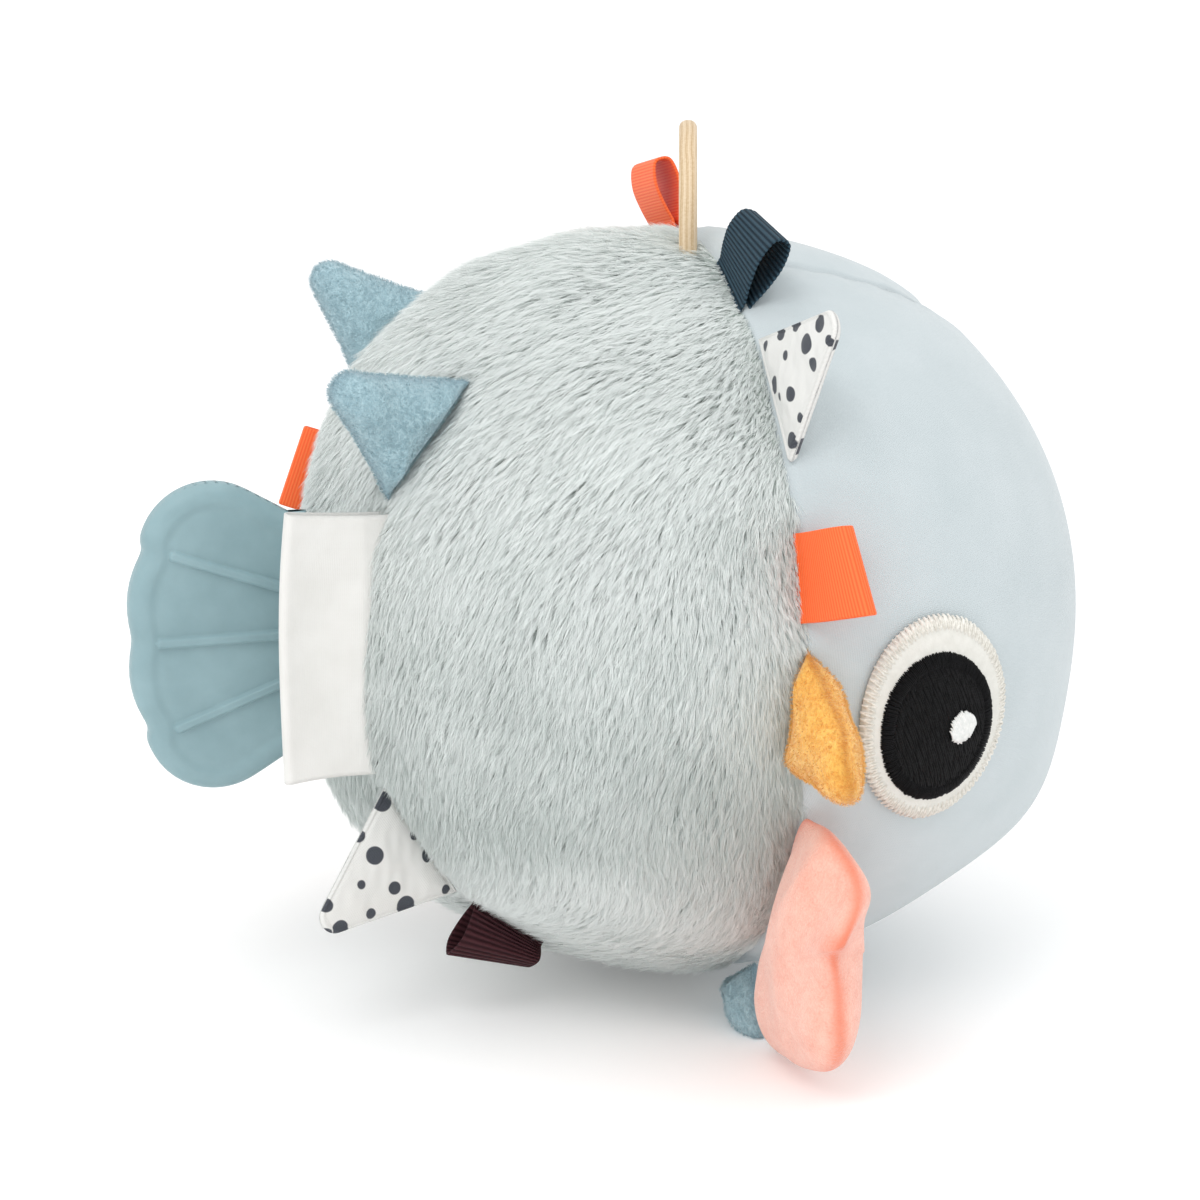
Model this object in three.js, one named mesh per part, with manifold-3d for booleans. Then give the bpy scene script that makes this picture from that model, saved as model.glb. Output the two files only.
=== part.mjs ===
// Activity ball: a stuffed fish-shaped ball with a smooth face, a plush back and things to grab in its seams.
// Millimetres. The ball is built about its own centre, +X to the face, -Y to its right side, +Z up,
// and moved at the end so that the origin is under the middle of the whole toy, on the surface it stands on.

import * as THREE from 'three';
import { mergeVertices } from 'three/addons/utils/BufferGeometryUtils.js';
import Module from 'manifold-3d';

const wasm = await Module();
wasm.setup();

// Ball and its covers
const ballRadius = 70;
const seamDepth = 2;
const seamReach = 10;
const coverThickness = 1.6;
const seamGap = 0.4;
const rearGussetHalfWidth = 22;
const wedgeTipHeightAngle = 47;
const wedgeRoundness = 4;
const bellyFlat = 0.5;
const backRows = 18;
const wedgeRows = 7;
const wedgeRowCrowding = 1.8;
const cheekMiddleRows = 8;
const backColumns = 7;
const cheekColumns = 9;
const gussetColumns = 6;
const cornerTrim = 0.015;

// Fits
const seatGap = 0.35;
const fillingGap = 0.6;
const stackGap = 0.25;
const pocketGap = 0.4;

// Eyes, measured over the curve of the ball
const eyeFaceAngle = 69.9;
const eyeRollAngle = 96.1;
const eyeTiltAngle = 13;
const eyeHalfHeight = 18.3;
const eyeHalfWidth = 15.7;
const eyePatchThickness = 0.9;
const pupilRollAngle = 97;
const pupilFaceAngle = 70.2;
const pupilTiltAngle = 24;
const pupilHalfHeight = 13.2;
const pupilHalfWidth = 11.6;
const pupilThickness = 0.7;
const glintFaceAngle = 66.8;
const glintRollAngle = 97.4;
const glintTiltAngle = 20;
const glintHalfHeight = 2.8;
const glintHalfWidth = 2.6;
const glintThickness = 0.5;
const eyeRings = 3;
const eyeSpokes = 24;
const pupilRings = 2;
const pupilSpokes = 20;
const glintRings = 1;
const glintSpokes = 12;

// Wooden ring
const ringOuterRadius = 19;
const ringLimb = 5.5;
const ringThickness = 3.2;
const ringEdgeRound = 1.4;
const ringStand = 17.5;
const ringTurnAngle = 17;
const ringGap = 0.5;
const ringSegments = 32;

// Tail teether
const tailThickness = 6.4;
const tailBevel = 1.4;
const tailApexDepth = 18;
const tailReach = 49.6;
const tailLobeStepAngle = 20;
const tailLobeBulge = 1.7;
const tailCornerRadius = 12.7;
const tailCornerAcross = 35.5;
const tailCornerUp = 15;
const tailRootHalfHeight = 21.5;
const tailRibWidth = 1.8;
const tailRibHeight = 0.8;
const tailRibLength = 21;
const tailRibInset = 4;
const tailTabHalfHeight = 12;
const tailTabThickness = 3;
const tailTabDepth = 14;
const tailRootSegments = 16;
const tailCurveSteps = 4;

// Ribbons
const ribbonWidth = 15;
const ribbonThickness = 0.7;
const ribbonLegGap = 0.8;
const ribbonSteps = 20;
const ribbons = {
  top_orange_ribbon: { side: 'left', rollAngle: 12, leanAngle: -10, height: 11.5, belly: 6 },
  right_navy_ribbon: { side: 'right', rollAngle: 24, leanAngle: 21, height: 13.5, belly: 5.5 },
  right_orange_ribbon: { side: 'right', rollAngle: 73.5, leanAngle: 27, height: 12.8, belly: 4.4 },
  left_navy_ribbon: { side: 'left', rollAngle: 53, leanAngle: 10, height: 13.5, belly: 7 },
  left_maroon_ribbon: { side: 'left', heightAngle: 0, leanAngle: 0, height: 13, belly: 8 },
  rear_maroon_ribbon: { side: 'right', heightAngle: -52, leanAngle: 0, height: 9, belly: 7 },
  rear_orange_ribbon: { side: 'left', heightAngle: 20, leanAngle: 0, height: 7.5, belly: 3 },
};

// Plush spikes and fins
const backSpikeBase = 26;
const backSpikeLength = 22.5;
const backSpikeThickness = 13;
const backSpikeHeightAngle = 35;
const leftBackSpikeHeightAngle = 44;
const bellySpikeBase = 17;
const bellySpikeLength = 13.5;
const bellySpikeThickness = 9;
const bellySpikeRollAngle = 152;
const bellySpikeLeanAngle = -8;
const bellySpikeTipShift = 9;
const spikeRimPoints = 20;
const spikeRings = 4;
const spikeFullest = 0.36;
const spikeFoot = 1.5;
const spikeSharpness = 0.6;
const spikeRoot = 3;
const mustardSpikeBase = 22;
const mustardSpikeLength = 23;
const mustardSpikeThickness = 10;
const mustardSpikeRollAngle = 92.5;
const mustardSpikeTipShift = 8;
const spikeTipRound = 2.6;
const finRollAngle = 124;
const finRootHalfWidth = 17;
const finThickness = 15;
const finSharpness = 0.6;
const finRoot = 11;
const finLift = 0.6;
const finFullest = 15;
// The fin's outline, along the seam and out of it: a narrow root, a small lobe above and a large one below
const finOutlineKnots = [
  [-22.5, 2.5],
  [-27.5, 11],
  [-26, 22],
  [-21.5, 27.5],
  [-17.5, 27],
  [-10.5, 30],
  [-2, 34.6],
  [6, 33.6],
  [17, 24.5],
  [25.5, 13.5],
  [23, 4],
];
const finRimPoints = 32;
const finRings = 5;

// Dotted flaps
const flapBase = 24.6;
const flapLength = 24;
const flapThickness = 2.8;
const flapTipRound = 3;
const flapCloth = 0.8;
const flapHem = 2.2;
const filmThickness = 0.5;
const flapCurveSteps = 4;
const hemSegments = 12;
const flapRollAngle = 47.3;
const flapLeanAngle = 10;
const leftFlapRollAngle = 71;
const rearFlapBase = 24;
const rearFlapLength = 24;
const rearFlapHeightAngle = -31.5;

// Label
const labelHeight = 46;
const labelLength = 13.5;
const labelCloth = 0.7;
const labelFold = 2.6;
const labelLeanAngle = 14;
const labelMiddleAngle = 1.8;
const labelCurveSteps = 6;
const labelFootSegments = 96;

// Rattle
const rattleInnerRadius = 9;
const rattleInnerLength = 29;
const rattleWall = 1.6;
const rattleLip = 2;
const rattleLipGap = 0.15;
const rattleBallRadius = 5;
const rattleSegments = 24;
const rattleBallSegments = 12;
const rattleBallRings = 8;
const fillingSegments = 20;
const fillingRings = 12;

// Colours and finishes
const finish = (color, roughness, metalness = 0) =>
  new THREE.MeshStandardMaterial({ color, roughness, metalness });
const smoothFabric = finish(0xd0dadc, 0.75);
const plush = finish(0xc3cdc7, 0.95);
const bluePlush = finish(0x9dbcc8, 0.95);
const mustardPlush = finish(0xd9a95a, 0.95);
const coralPlush = finish(0xf6b8a8, 0.95);
const dottedCotton = finish(0xf0eeea, 0.85);
const film = finish(0xdfe3e6, 0.35);
const orangeRibbon = finish(0xff7850, 0.6);
const navyRibbon = finish(0x2f4a5e, 0.8);
const maroonRibbon = finish(0x4a1f2a, 0.8);
const labelWhite = finish(0xf3f1ee, 0.7);
const eyeCream = finish(0xf0eadb, 0.8);
const pupilBlack = finish(0x1c1d20, 0.6);
const wood = finish(0xdcc79a, 0.6);
const silicone = finish(0x8fabb2, 0.5);
const fibre = finish(0xf7f7f4, 1);
const rattlePlastic = finish(0xe9e9e6, 0.4);
const ballPlastic = finish(0xd8d8d4, 0.4);

// Sizes worked out from those above
const seamRadius = ballRadius - seamDepth;
const coverInner = seamRadius - coverThickness;
const fillingRadius = coverInner - fillingGap;
const seatRadius = seamRadius + seatGap;
const coverSlope = 2 * seamDepth / seamReach;
const tailApex = ballRadius - tailApexDepth;
const tailRootX = tailApexDepth + seatGap + tailThickness / 2;
const ringCentre = ballRadius + ringStand - ringOuterRadius;
const rad = THREE.MathUtils.degToRad;

const toy = new THREE.Group();

// Solids

function toSolid(geometry) {
  const bare = new THREE.BufferGeometry();
  bare.setAttribute('position', geometry.getAttribute('position').clone());
  if (geometry.index) bare.setIndex(geometry.index.clone());
  const merged = mergeVertices(bare, 1e-4);
  const triangles = [];
  for (let i = 0; i < merged.index.count; i += 3) {
    const corner = [0, 1, 2].map((k) => merged.index.getX(i + k));
    if (new Set(corner).size === 3) triangles.push(...corner);
  }
  return new wasm.Manifold(new wasm.Mesh({
    numProp: 3,
    vertProperties: new Float32Array(merged.getAttribute('position').array),
    triVerts: new Uint32Array(triangles),
  }));
}

function toGeometry(solid) {
  const mesh = solid.getMesh();
  const geometry = new THREE.BufferGeometry();
  geometry.setAttribute('position', new THREE.BufferAttribute(new Float32Array(mesh.vertProperties), 3));
  geometry.setIndex(new THREE.BufferAttribute(new Uint32Array(mesh.triVerts), 1));
  return geometry;
}

function cutFrom(geometry, ...tools) {
  return toGeometry(tools.reduce((solid, tool) => solid.subtract(toSolid(tool)), toSolid(geometry)));
}

function joined(geometry, ...others) {
  return toGeometry(others.reduce((solid, other) => solid.add(toSolid(other)), toSolid(geometry)));
}

function signedVolume(points, triangles) {
  let volume = 0;
  for (let i = 0; i < triangles.length; i += 3) {
    const [a, b, c] = [points[triangles[i]], points[triangles[i + 1]], points[triangles[i + 2]]];
    volume += a.dot(b.clone().cross(c)) / 6;
  }
  return volume;
}

function closedGeometry(points, triangles) {
  if (signedVolume(points, triangles) < 0) triangles.reverse();
  const geometry = new THREE.BufferGeometry();
  geometry.setFromPoints(points);
  geometry.setIndex(triangles);
  return geometry;
}

function place(name, geometry, material, parent = toy) {
  geometry.deleteAttribute('uv');
  geometry.computeVertexNormals();
  const mesh = new THREE.Mesh(geometry, material);
  mesh.name = name;
  parent.add(mesh);
  return mesh;
}

// A sheet with an outer and an inner skin, each a grid of points, closed along its four edges
function shellGeometry(outer, inner) {
  const rows = outer.length;
  const columns = outer[0].length;
  const points = [...outer.flat(), ...inner.flat()];
  const at = (skin, i, j) => skin * rows * columns + i * columns + j;
  const triangles = [];
  const quad = (a, b, c, d) => triangles.push(a, b, c, a, c, d);
  for (let i = 0; i + 1 < rows; i += 1) {
    for (let j = 0; j + 1 < columns; j += 1) {
      quad(at(0, i, j), at(0, i + 1, j), at(0, i + 1, j + 1), at(0, i, j + 1));
      quad(at(1, i, j), at(1, i, j + 1), at(1, i + 1, j + 1), at(1, i + 1, j));
    }
    const last = columns - 1;
    quad(at(0, i, 0), at(1, i, 0), at(1, i + 1, 0), at(0, i + 1, 0));
    quad(at(0, i, last), at(0, i + 1, last), at(1, i + 1, last), at(1, i, last));
  }
  for (let j = 0; j + 1 < columns; j += 1) {
    const last = rows - 1;
    quad(at(0, 0, j), at(0, 0, j + 1), at(1, 0, j + 1), at(1, 0, j));
    quad(at(0, last, j), at(1, last, j), at(1, last, j + 1), at(0, last, j + 1));
  }
  return closedGeometry(points, triangles);
}

// Covers of the ball

const onSphere = (x, y, z) => new THREE.Vector3(x, y, z).normalize();

function between(a, b, share) {
  const angle = a.angleTo(b);
  const from = Math.sin((1 - share) * angle) / Math.sin(angle);
  const to = Math.sin(share * angle) / Math.sin(angle);
  return a.clone().multiplyScalar(from).addScaledVector(b, to);
}

// Each cover swells between its seams: near its own rim it is drawn in towards the seam
function coverRadiusAt(direction, rim) {
  const away = Math.min(...rim.map((point) => point.angleTo(direction))) * ballRadius;
  return ballRadius - seamDepth * Math.max(0, 1 - away / seamReach) ** 2;
}

function panelGeometry(edgeA, edgeB, columns) {
  const rows = edgeA.map((a, i) => {
    const across = Array.from({ length: columns + 1 }, (_, j) => j / columns);
    return across.map((share) => between(a, edgeB[i], share));
  });
  const rim = [...rows[0], ...rows.at(-1), ...edgeA, ...edgeB];
  const outer = rows.map((row) => row.map((d) => d.clone().multiplyScalar(coverRadiusAt(d, rim))));
  const inner = rows.map((row) => row.map((d) => d.clone().multiplyScalar(coverInner)));
  return shellGeometry(outer, inner);
}

// A point of a seam that runs from the top over the front or back to the bottom, at a height angle
function lengthwise(end, side, halfWidth, height) {
  const y = side * halfWidth;
  const section = Math.sqrt(ballRadius ** 2 - y ** 2);
  return onSphere(end * section * Math.cos(rad(height)), y, section * Math.sin(rad(height)));
}

// A point of the seam round the ball, at a roll angle from the top towards a side
function roundSeam(end, side, roll) {
  const y = side * ballRadius * Math.sin(rad(roll));
  return onSphere(end * seamGap / 2, y, ballRadius * Math.cos(rad(roll)));
}

const squareEnd = THREE.MathUtils.radToDeg(seamGap / 2 / ballRadius);
const highest = 90 - squareEnd;
const spread = (from, to, steps) =>
  Array.from({ length: steps + 1 }, (_, i) => from + (to - from) * i / steps);

const rightSide = -1;
const leftSide = 1;
const front = 1;
const back = -1;

const backHeights = spread(highest, -highest, backRows);
// A wedge's rows crowd towards its round tip
const wedgeHeights = spread(1, 0, wedgeRows).map((left) =>
  wedgeTipHeightAngle + (highest - wedgeTipHeightAngle) * left ** wedgeRowCrowding);
const cheekHeights = [
  ...wedgeHeights,
  ...spread(wedgeTipHeightAngle, -wedgeTipHeightAngle, cheekMiddleRows).slice(1, -1),
  ...wedgeHeights.map((height) => -height).reverse(),
];

function wedgeHalfWidth(height) {
  const share = Math.min(1, (highest - Math.abs(height)) / (highest - wedgeTipHeightAngle));
  return rearGussetHalfWidth * (1 - share ** wedgeRoundness);
}

function floorBlock(level) {
  const depth = ballRadius / 4;
  const block = new THREE.BoxGeometry(2 * ballRadius, 2 * ballRadius, depth);
  return block.translate(0, 0, level - depth / 2);
}

function backCover(side) {
  const cornerRoll = THREE.MathUtils.radToDeg(Math.asin((rearGussetHalfWidth + seamGap / 2) / ballRadius));
  const inset = cornerTrim * 180;
  const heights = spread(highest - inset, inset - highest, backRows);
  const rolls = spread(cornerRoll + inset, 180 - cornerRoll - inset, backRows);
  const seamEdge = rolls.map((roll) => roundSeam(back, side, roll));
  const gussetEdge = heights.map((height) =>
    lengthwise(back, side, rearGussetHalfWidth + seamGap / 2, height));
  return panelGeometry(seamEdge, gussetEdge, backColumns);
}

function rearGusset() {
  const edge = (side) => backHeights.map((height) =>
    lengthwise(back, side, rearGussetHalfWidth - seamGap / 2, height));
  return panelGeometry(edge(rightSide), edge(leftSide), gussetColumns);
}

function cheekCover(side) {
  const cornerRoll = THREE.MathUtils.radToDeg(Math.asin((rearGussetHalfWidth + seamGap / 2) / ballRadius));
  const inset = cornerTrim * 90;
  const heights = [highest - inset, ...cheekHeights.slice(1, -1), inset - highest];
  const rolls = spread(cornerRoll + inset, 180 - cornerRoll - inset, heights.length - 1);
  const seamEdge = rolls.map((roll) => roundSeam(front, side, roll));
  const middleEdge = heights.map((height) =>
    lengthwise(front, side, wedgeHalfWidth(height) + seamGap / 2, height));
  return panelGeometry(seamEdge, middleEdge, cheekColumns);
}

function wedgeCover(upDown) {
  const heights = wedgeHeights.slice(0, -1);
  const edge = (side) => heights.map((height) =>
    lengthwise(front, side, wedgeHalfWidth(height) - seamGap / 2, upDown * height));
  return panelGeometry(edge(rightSide), edge(leftSide), gussetColumns);
}

// Wooden ring: it runs through a sewn tunnel across the top of the seam, half in and half out

function ringGeometry(grow) {
  const inner = ringOuterRadius - ringLimb - grow;
  const outer = ringOuterRadius + grow;
  const half = ringThickness / 2 + grow;
  const round = ringEdgeRound + grow;
  const corners = [
    [outer - round, round - half, -90],
    [outer - round, half - round, 0],
    [inner + round, half - round, 90],
    [inner + round, round - half, 180],
  ];
  const profile = corners.flatMap(([r, z, start]) => [0, 45, 90].map((turn) => {
    const angle = rad(start + turn);
    return new THREE.Vector2(r + round * Math.cos(angle), z + round * Math.sin(angle));
  }));
  profile.push(profile[0].clone());
  return new THREE.LatheGeometry(profile, ringSegments);
}

const ringPlace = new THREE.Matrix4()
  .makeTranslation(0, 0, ringCentre)
  .multiply(new THREE.Matrix4().makeRotationZ(-rad(ringTurnAngle + 90)));
const ringSpace = ringGeometry(ringGap).applyMatrix4(ringPlace);

// Tail teether

function tailOutline() {
  const across = tailCornerAcross;
  const up = tailCornerUp;
  const notch = (angle) => [tailReach * Math.cos(rad(angle)), tailReach * Math.sin(rad(angle))];
  const bulge = (angle) => [
    (tailReach + 2 * tailLobeBulge) * Math.cos(rad(angle)),
    (tailReach + 2 * tailLobeBulge) * Math.sin(rad(angle)),
  ];
  const root = tailRootX;
  const [notchX, notchY] = notch(tailLobeStepAngle);
  const cornerStart = Math.atan2(notchY - up, notchX - across);
  const toRoot = Math.atan2(up - tailRootHalfHeight, across - root);
  const reach = Math.hypot(across - root, up - tailRootHalfHeight);
  const cornerEnd = toRoot + Math.PI - Math.acos(tailCornerRadius / reach);
  const outline = new THREE.Shape();
  outline.moveTo(root - tailThickness, -tailRootHalfHeight);
  outline.lineTo(root, -tailRootHalfHeight);
  outline.absarc(across, -up, tailCornerRadius, -cornerEnd, -cornerStart, false);
  outline.lineTo(...notch(-tailLobeStepAngle));
  outline.quadraticCurveTo(...bulge(-tailLobeStepAngle / 2), ...notch(0));
  outline.quadraticCurveTo(...bulge(tailLobeStepAngle / 2), ...notch(tailLobeStepAngle));
  outline.absarc(across, up, tailCornerRadius, cornerStart, cornerEnd, false);
  outline.lineTo(root, tailRootHalfHeight);
  outline.lineTo(root - tailThickness, tailRootHalfHeight);
  return outline;
}

function bar(length, width, height) {
  const half = width / 2;
  const outline = new THREE.Shape();
  outline.absarc(0, 0, half, Math.PI / 2, 3 * Math.PI / 2, false);
  outline.absarc(length, 0, half, -Math.PI / 2, Math.PI / 2, false);
  return new THREE.ExtrudeGeometry(outline, {
    depth: height, bevelEnabled: false, curveSegments: tailCurveSteps,
  });
}

function tailGeometry() {
  const plate = new THREE.ExtrudeGeometry(tailOutline(), {
    depth: tailThickness - 2 * tailBevel,
    bevelThickness: tailBevel,
    bevelSize: tailBevel,
    bevelOffset: -tailBevel,
    bevelSegments: 2,
    curveSegments: tailCurveSteps,
  }).translate(0, 0, tailBevel - tailThickness / 2);
  const root = new THREE.CylinderGeometry(
    tailThickness / 2, tailThickness / 2, 2 * (tailRootHalfHeight - tailBevel), tailRootSegments);
  root.translate(tailRootX, 0, 0);
  const rootCut = new THREE.BoxGeometry(2 * tailThickness, 4 * tailRootHalfHeight, 2 * tailThickness)
    .translate(tailRootX - tailThickness, 0, 0);
  const ribs = [-tailLobeStepAngle, 0, tailLobeStepAngle].map((angle) => {
    const rib = bar(tailRibLength, tailRibWidth, tailThickness + 2 * tailRibHeight);
    rib.translate(tailReach - tailRibInset - tailRibLength, 0, -tailThickness / 2 - tailRibHeight);
    return rib.rotateZ(rad(angle));
  });
  return joined(cutFrom(plate, rootCut), root, ...ribs);
}

const tailPlace = new THREE.Matrix4()
  .makeTranslation(-tailApex, 0, 0)
  .multiply(new THREE.Matrix4().makeRotationX(-Math.PI / 2))
  .multiply(new THREE.Matrix4().makeRotationZ(Math.PI));

function tailTab(grow) {
  const outer = ballRadius - 2 * seatGap + (grow ? tailTabDepth / 2 : 0);
  const inner = ballRadius - tailTabDepth - grow;
  const across = tailTabThickness + 2 * grow;
  const tab = new THREE.BoxGeometry(outer - inner, across, 2 * (tailTabHalfHeight + grow));
  return tab.translate(-(outer + inner) / 2, 0, 0);
}

// Rattle: a two-part drum across the middle of the ball, with one ball in it

const rattleOuterRadius = rattleInnerRadius + rattleWall;
const rattleHalfLength = rattleInnerLength / 2 + rattleWall;

function rattleHalf(side, hasLip) {
  const lipRadius = rattleInnerRadius + rattleWall / 2;
  const lipStep = hasLip ? rattleLip : -rattleLip - rattleLipGap;
  const lipWall = hasLip ? lipRadius - rattleLipGap / 2 : lipRadius + rattleLipGap / 2;
  const mouth = hasLip ? rattleLipGap : 0;
  const profile = [
    [0, rattleHalfLength],
    [rattleOuterRadius, rattleHalfLength],
    [rattleOuterRadius, mouth],
    [lipWall, mouth],
    [lipWall, -lipStep],
    [rattleInnerRadius, -lipStep],
    [rattleInnerRadius, rattleInnerLength / 2],
    [0, rattleInnerLength / 2],
  ].map(([r, z]) => new THREE.Vector2(r, z));
  const half = new THREE.LatheGeometry(profile.reverse(), rattleSegments);
  return half.rotateX(side === leftSide ? 0 : Math.PI);
}

function rattleSpace() {
  const radius = rattleOuterRadius + pocketGap;
  const length = 2 * (rattleHalfLength + pocketGap);
  return new THREE.CylinderGeometry(radius, radius, length, rattleSegments);
}

function filling(end) {
  const sphere = new THREE.SphereGeometry(fillingRadius, fillingSegments, fillingRings).rotateX(Math.PI / 2);
  const away = new THREE.BoxGeometry(2 * ballRadius, 2 * ballRadius, 2 * ballRadius);
  away.translate(end * (seamGap / 2 - ballRadius), 0, 0);
  return cutFrom(sphere, away, rattleSpace(), ringSpace, tailTab(pocketGap));
}

// Eyes: patches that follow the curve of the ball

function spherePatch(side, faceAngle, roll, tilt, halfHeight, halfWidth, base, thickness, rings, spokes) {
  const centre = onSphere(
    Math.cos(rad(faceAngle)),
    side * Math.sin(rad(faceAngle)) * Math.sin(rad(roll)),
    Math.sin(rad(faceAngle)) * Math.cos(rad(roll)),
  );
  const forward = new THREE.Vector3(1, 0, 0).projectOnPlane(centre).normalize();
  const up = forward.clone().cross(centre).multiplyScalar(-side).normalize();
  const skin = (radius, drop) => {
    const grid = [];
    for (let i = 1; i <= rings; i += 1) {
      const row = [];
      for (let j = 0; j < spokes; j += 1) {
        const turn = 2 * Math.PI * j / spokes;
        const alongUp = halfHeight * Math.cos(turn) * i / rings;
        const alongForward = halfWidth * Math.sin(turn) * i / rings;
        const lean = rad(tilt);
        const u = alongUp * Math.cos(lean) - alongForward * Math.sin(lean);
        const f = alongUp * Math.sin(lean) + alongForward * Math.cos(lean);
        const arc = Math.hypot(u, f) / ballRadius;
        const heading = up.clone().multiplyScalar(u).addScaledVector(forward, f).normalize();
        const point = centre.clone().multiplyScalar(Math.cos(arc)).addScaledVector(heading, Math.sin(arc));
        row.push(point.multiplyScalar(radius - (i === rings ? drop : 0)));
      }
      grid.push(row);
    }
    return grid;
  };
  const outer = skin(base + thickness, thickness / 3);
  const inner = skin(base, 0);
  const points = [centre.clone().multiplyScalar(base + thickness), centre.clone().multiplyScalar(base)];
  points.push(...outer.flat(), ...inner.flat());
  const at = (level, i, j) => 2 + level * rings * spokes + i * spokes + (j % spokes);
  const triangles = [];
  for (let j = 0; j < spokes; j += 1) {
    triangles.push(0, at(0, 0, j), at(0, 0, j + 1));
    triangles.push(1, at(1, 0, j + 1), at(1, 0, j));
    for (let i = 0; i + 1 < rings; i += 1) {
      triangles.push(at(0, i, j), at(0, i + 1, j), at(0, i + 1, j + 1));
      triangles.push(at(0, i, j), at(0, i + 1, j + 1), at(0, i, j + 1));
      triangles.push(at(1, i, j), at(1, i + 1, j + 1), at(1, i + 1, j));
      triangles.push(at(1, i, j), at(1, i, j + 1), at(1, i + 1, j + 1));
    }
    const last = rings - 1;
    triangles.push(at(0, last, j), at(1, last, j), at(1, last, j + 1));
    triangles.push(at(0, last, j), at(1, last, j + 1), at(0, last, j + 1));
  }
  return closedGeometry(points, triangles);
}

// Things sewn into the seams. A seam frame stands on the seam: its X runs along the seam,
// its Z points out of the ball, and its Y points across the seam.

function seamFrame(point, along) {
  const out = point.clone().normalize();
  const across = out.clone().cross(along);
  const holder = new THREE.Group();
  holder.matrix.makeBasis(along, across, out).setPosition(out.clone().multiplyScalar(seatRadius));
  holder.matrix.decompose(holder.position, holder.quaternion, holder.scale);
  toy.add(holder);
  return holder;
}

function onRoundSeam(side, roll) {
  const point = new THREE.Vector3(0, side * Math.sin(rad(roll)), Math.cos(rad(roll)));
  const along = new THREE.Vector3(0, side * Math.cos(rad(roll)), -Math.sin(rad(roll)));
  return seamFrame(point, side === rightSide ? along : along.negate());
}

function onGussetSeam(side, height) {
  const point = lengthwise(back, side, rearGussetHalfWidth, height);
  return seamFrame(point, new THREE.Vector3(Math.sin(rad(height)), 0, Math.cos(rad(height))));
}

// A lean tips a piece across the seam, towards the frame's Y. It is lifted by as much as the corner
// of its foot would dip into the covers, which rise on both sides of the seam.
function leaning(holder, lean, footThickness) {
  const tipped = new THREE.Group();
  tipped.rotation.x = -rad(lean);
  tipped.position.z = footThickness / 2 * (Math.abs(Math.sin(rad(lean))) + coverSlope);
  holder.add(tipped);
  return tipped;
}

// Turns a profile drawn across a seam, and extruded, so that it stands on the seam and runs along it
const acrossToUpright = new THREE.Matrix4().makeBasis(
  new THREE.Vector3(0, 1, 0), new THREE.Vector3(0, 0, 1), new THREE.Vector3(1, 0, 0));

// A ribbon folded into a loop, its two ends in the seam
function ribbonLoop(height, belly) {
  const half = belly / 2 - ribbonThickness / 2;
  const leg = (ribbonLegGap + ribbonThickness) / 2;
  const middle = new THREE.SplineCurve([
    new THREE.Vector2(-leg, 0),
    new THREE.Vector2(-half * 0.75, height * 0.3),
    new THREE.Vector2(-half, height * 0.62),
    new THREE.Vector2(-half * 0.7, height - half * 0.45),
    new THREE.Vector2(0, height - ribbonThickness / 2),
    new THREE.Vector2(half * 0.7, height - half * 0.45),
    new THREE.Vector2(half, height * 0.62),
    new THREE.Vector2(half * 0.75, height * 0.3),
    new THREE.Vector2(leg, 0),
  ]);
  const edge = (sign) => spread(0, 1, ribbonSteps).map((t) => {
    const tangent = middle.getTangent(t);
    const normal = new THREE.Vector2(-tangent.y, tangent.x);
    return middle.getPoint(t).addScaledVector(normal, sign * ribbonThickness / 2);
  });
  const outline = new THREE.Shape([...edge(1), ...edge(-1).reverse()]);
  const loop = new THREE.ExtrudeGeometry(outline, { depth: ribbonWidth, bevelEnabled: false });
  return loop.translate(0, 0, -ribbonWidth / 2).applyMatrix4(acrossToUpright);
}

// A stuffed shape: two skins sewn round an outline in the seam's plane, full in the middle.
// A sharpness of 1 tapers it evenly to its rim, and less keeps it full nearly to the rim.
// Over the height of its root it thins down to the seam that holds it.
function stuffed(outline, middle, thickness, sharpness, rings, rootHeight) {
  const points = [];
  const count = outline.length;
  for (const skin of [1, -1]) {
    points.push(new THREE.Vector3(middle.x, skin * thickness / 2, middle.y));
    for (let i = 1; i < rings; i += 1) {
      const share = Math.sin(Math.PI / 2 * i / rings);
      const half = thickness / 2 * (1 - share ** 2) ** sharpness;
      for (const rim of outline) {
        const flat = rim.clone().sub(middle).multiplyScalar(share).add(middle);
        const root = Math.max(0.1, Math.min(1, flat.y / rootHeight));
        points.push(new THREE.Vector3(flat.x, skin * half * Math.sqrt(root), flat.y));
      }
    }
  }
  points.push(...outline.map((rim) => new THREE.Vector3(rim.x, 0, rim.y)));
  const perSkin = 1 + (rings - 1) * count;
  const at = (skin, ring, j) => {
    if (ring === 0) return skin * perSkin;
    if (ring === rings) return 2 * perSkin + (j % count);
    return skin * perSkin + 1 + (ring - 1) * count + (j % count);
  };
  const triangles = [];
  for (const skin of [0, 1]) {
    const add = (a, b, c) => triangles.push(...(skin === 0 ? [a, b, c] : [a, c, b]));
    for (let j = 0; j < count; j += 1) {
      add(at(skin, 0, j), at(skin, 1, j), at(skin, 1, j + 1));
      for (let ring = 1; ring < rings; ring += 1) {
        add(at(skin, ring, j), at(skin, ring + 1, j), at(skin, ring + 1, j + 1));
        add(at(skin, ring, j), at(skin, ring + 1, j + 1), at(skin, ring, j + 1));
      }
    }
  }
  return closedGeometry(points, triangles);
}

// How far the seam drops away from a straight line along it, at a distance from where they touch
const seamDrop = (away) => seatRadius - Math.sqrt(seatRadius ** 2 - away ** 2);

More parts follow.
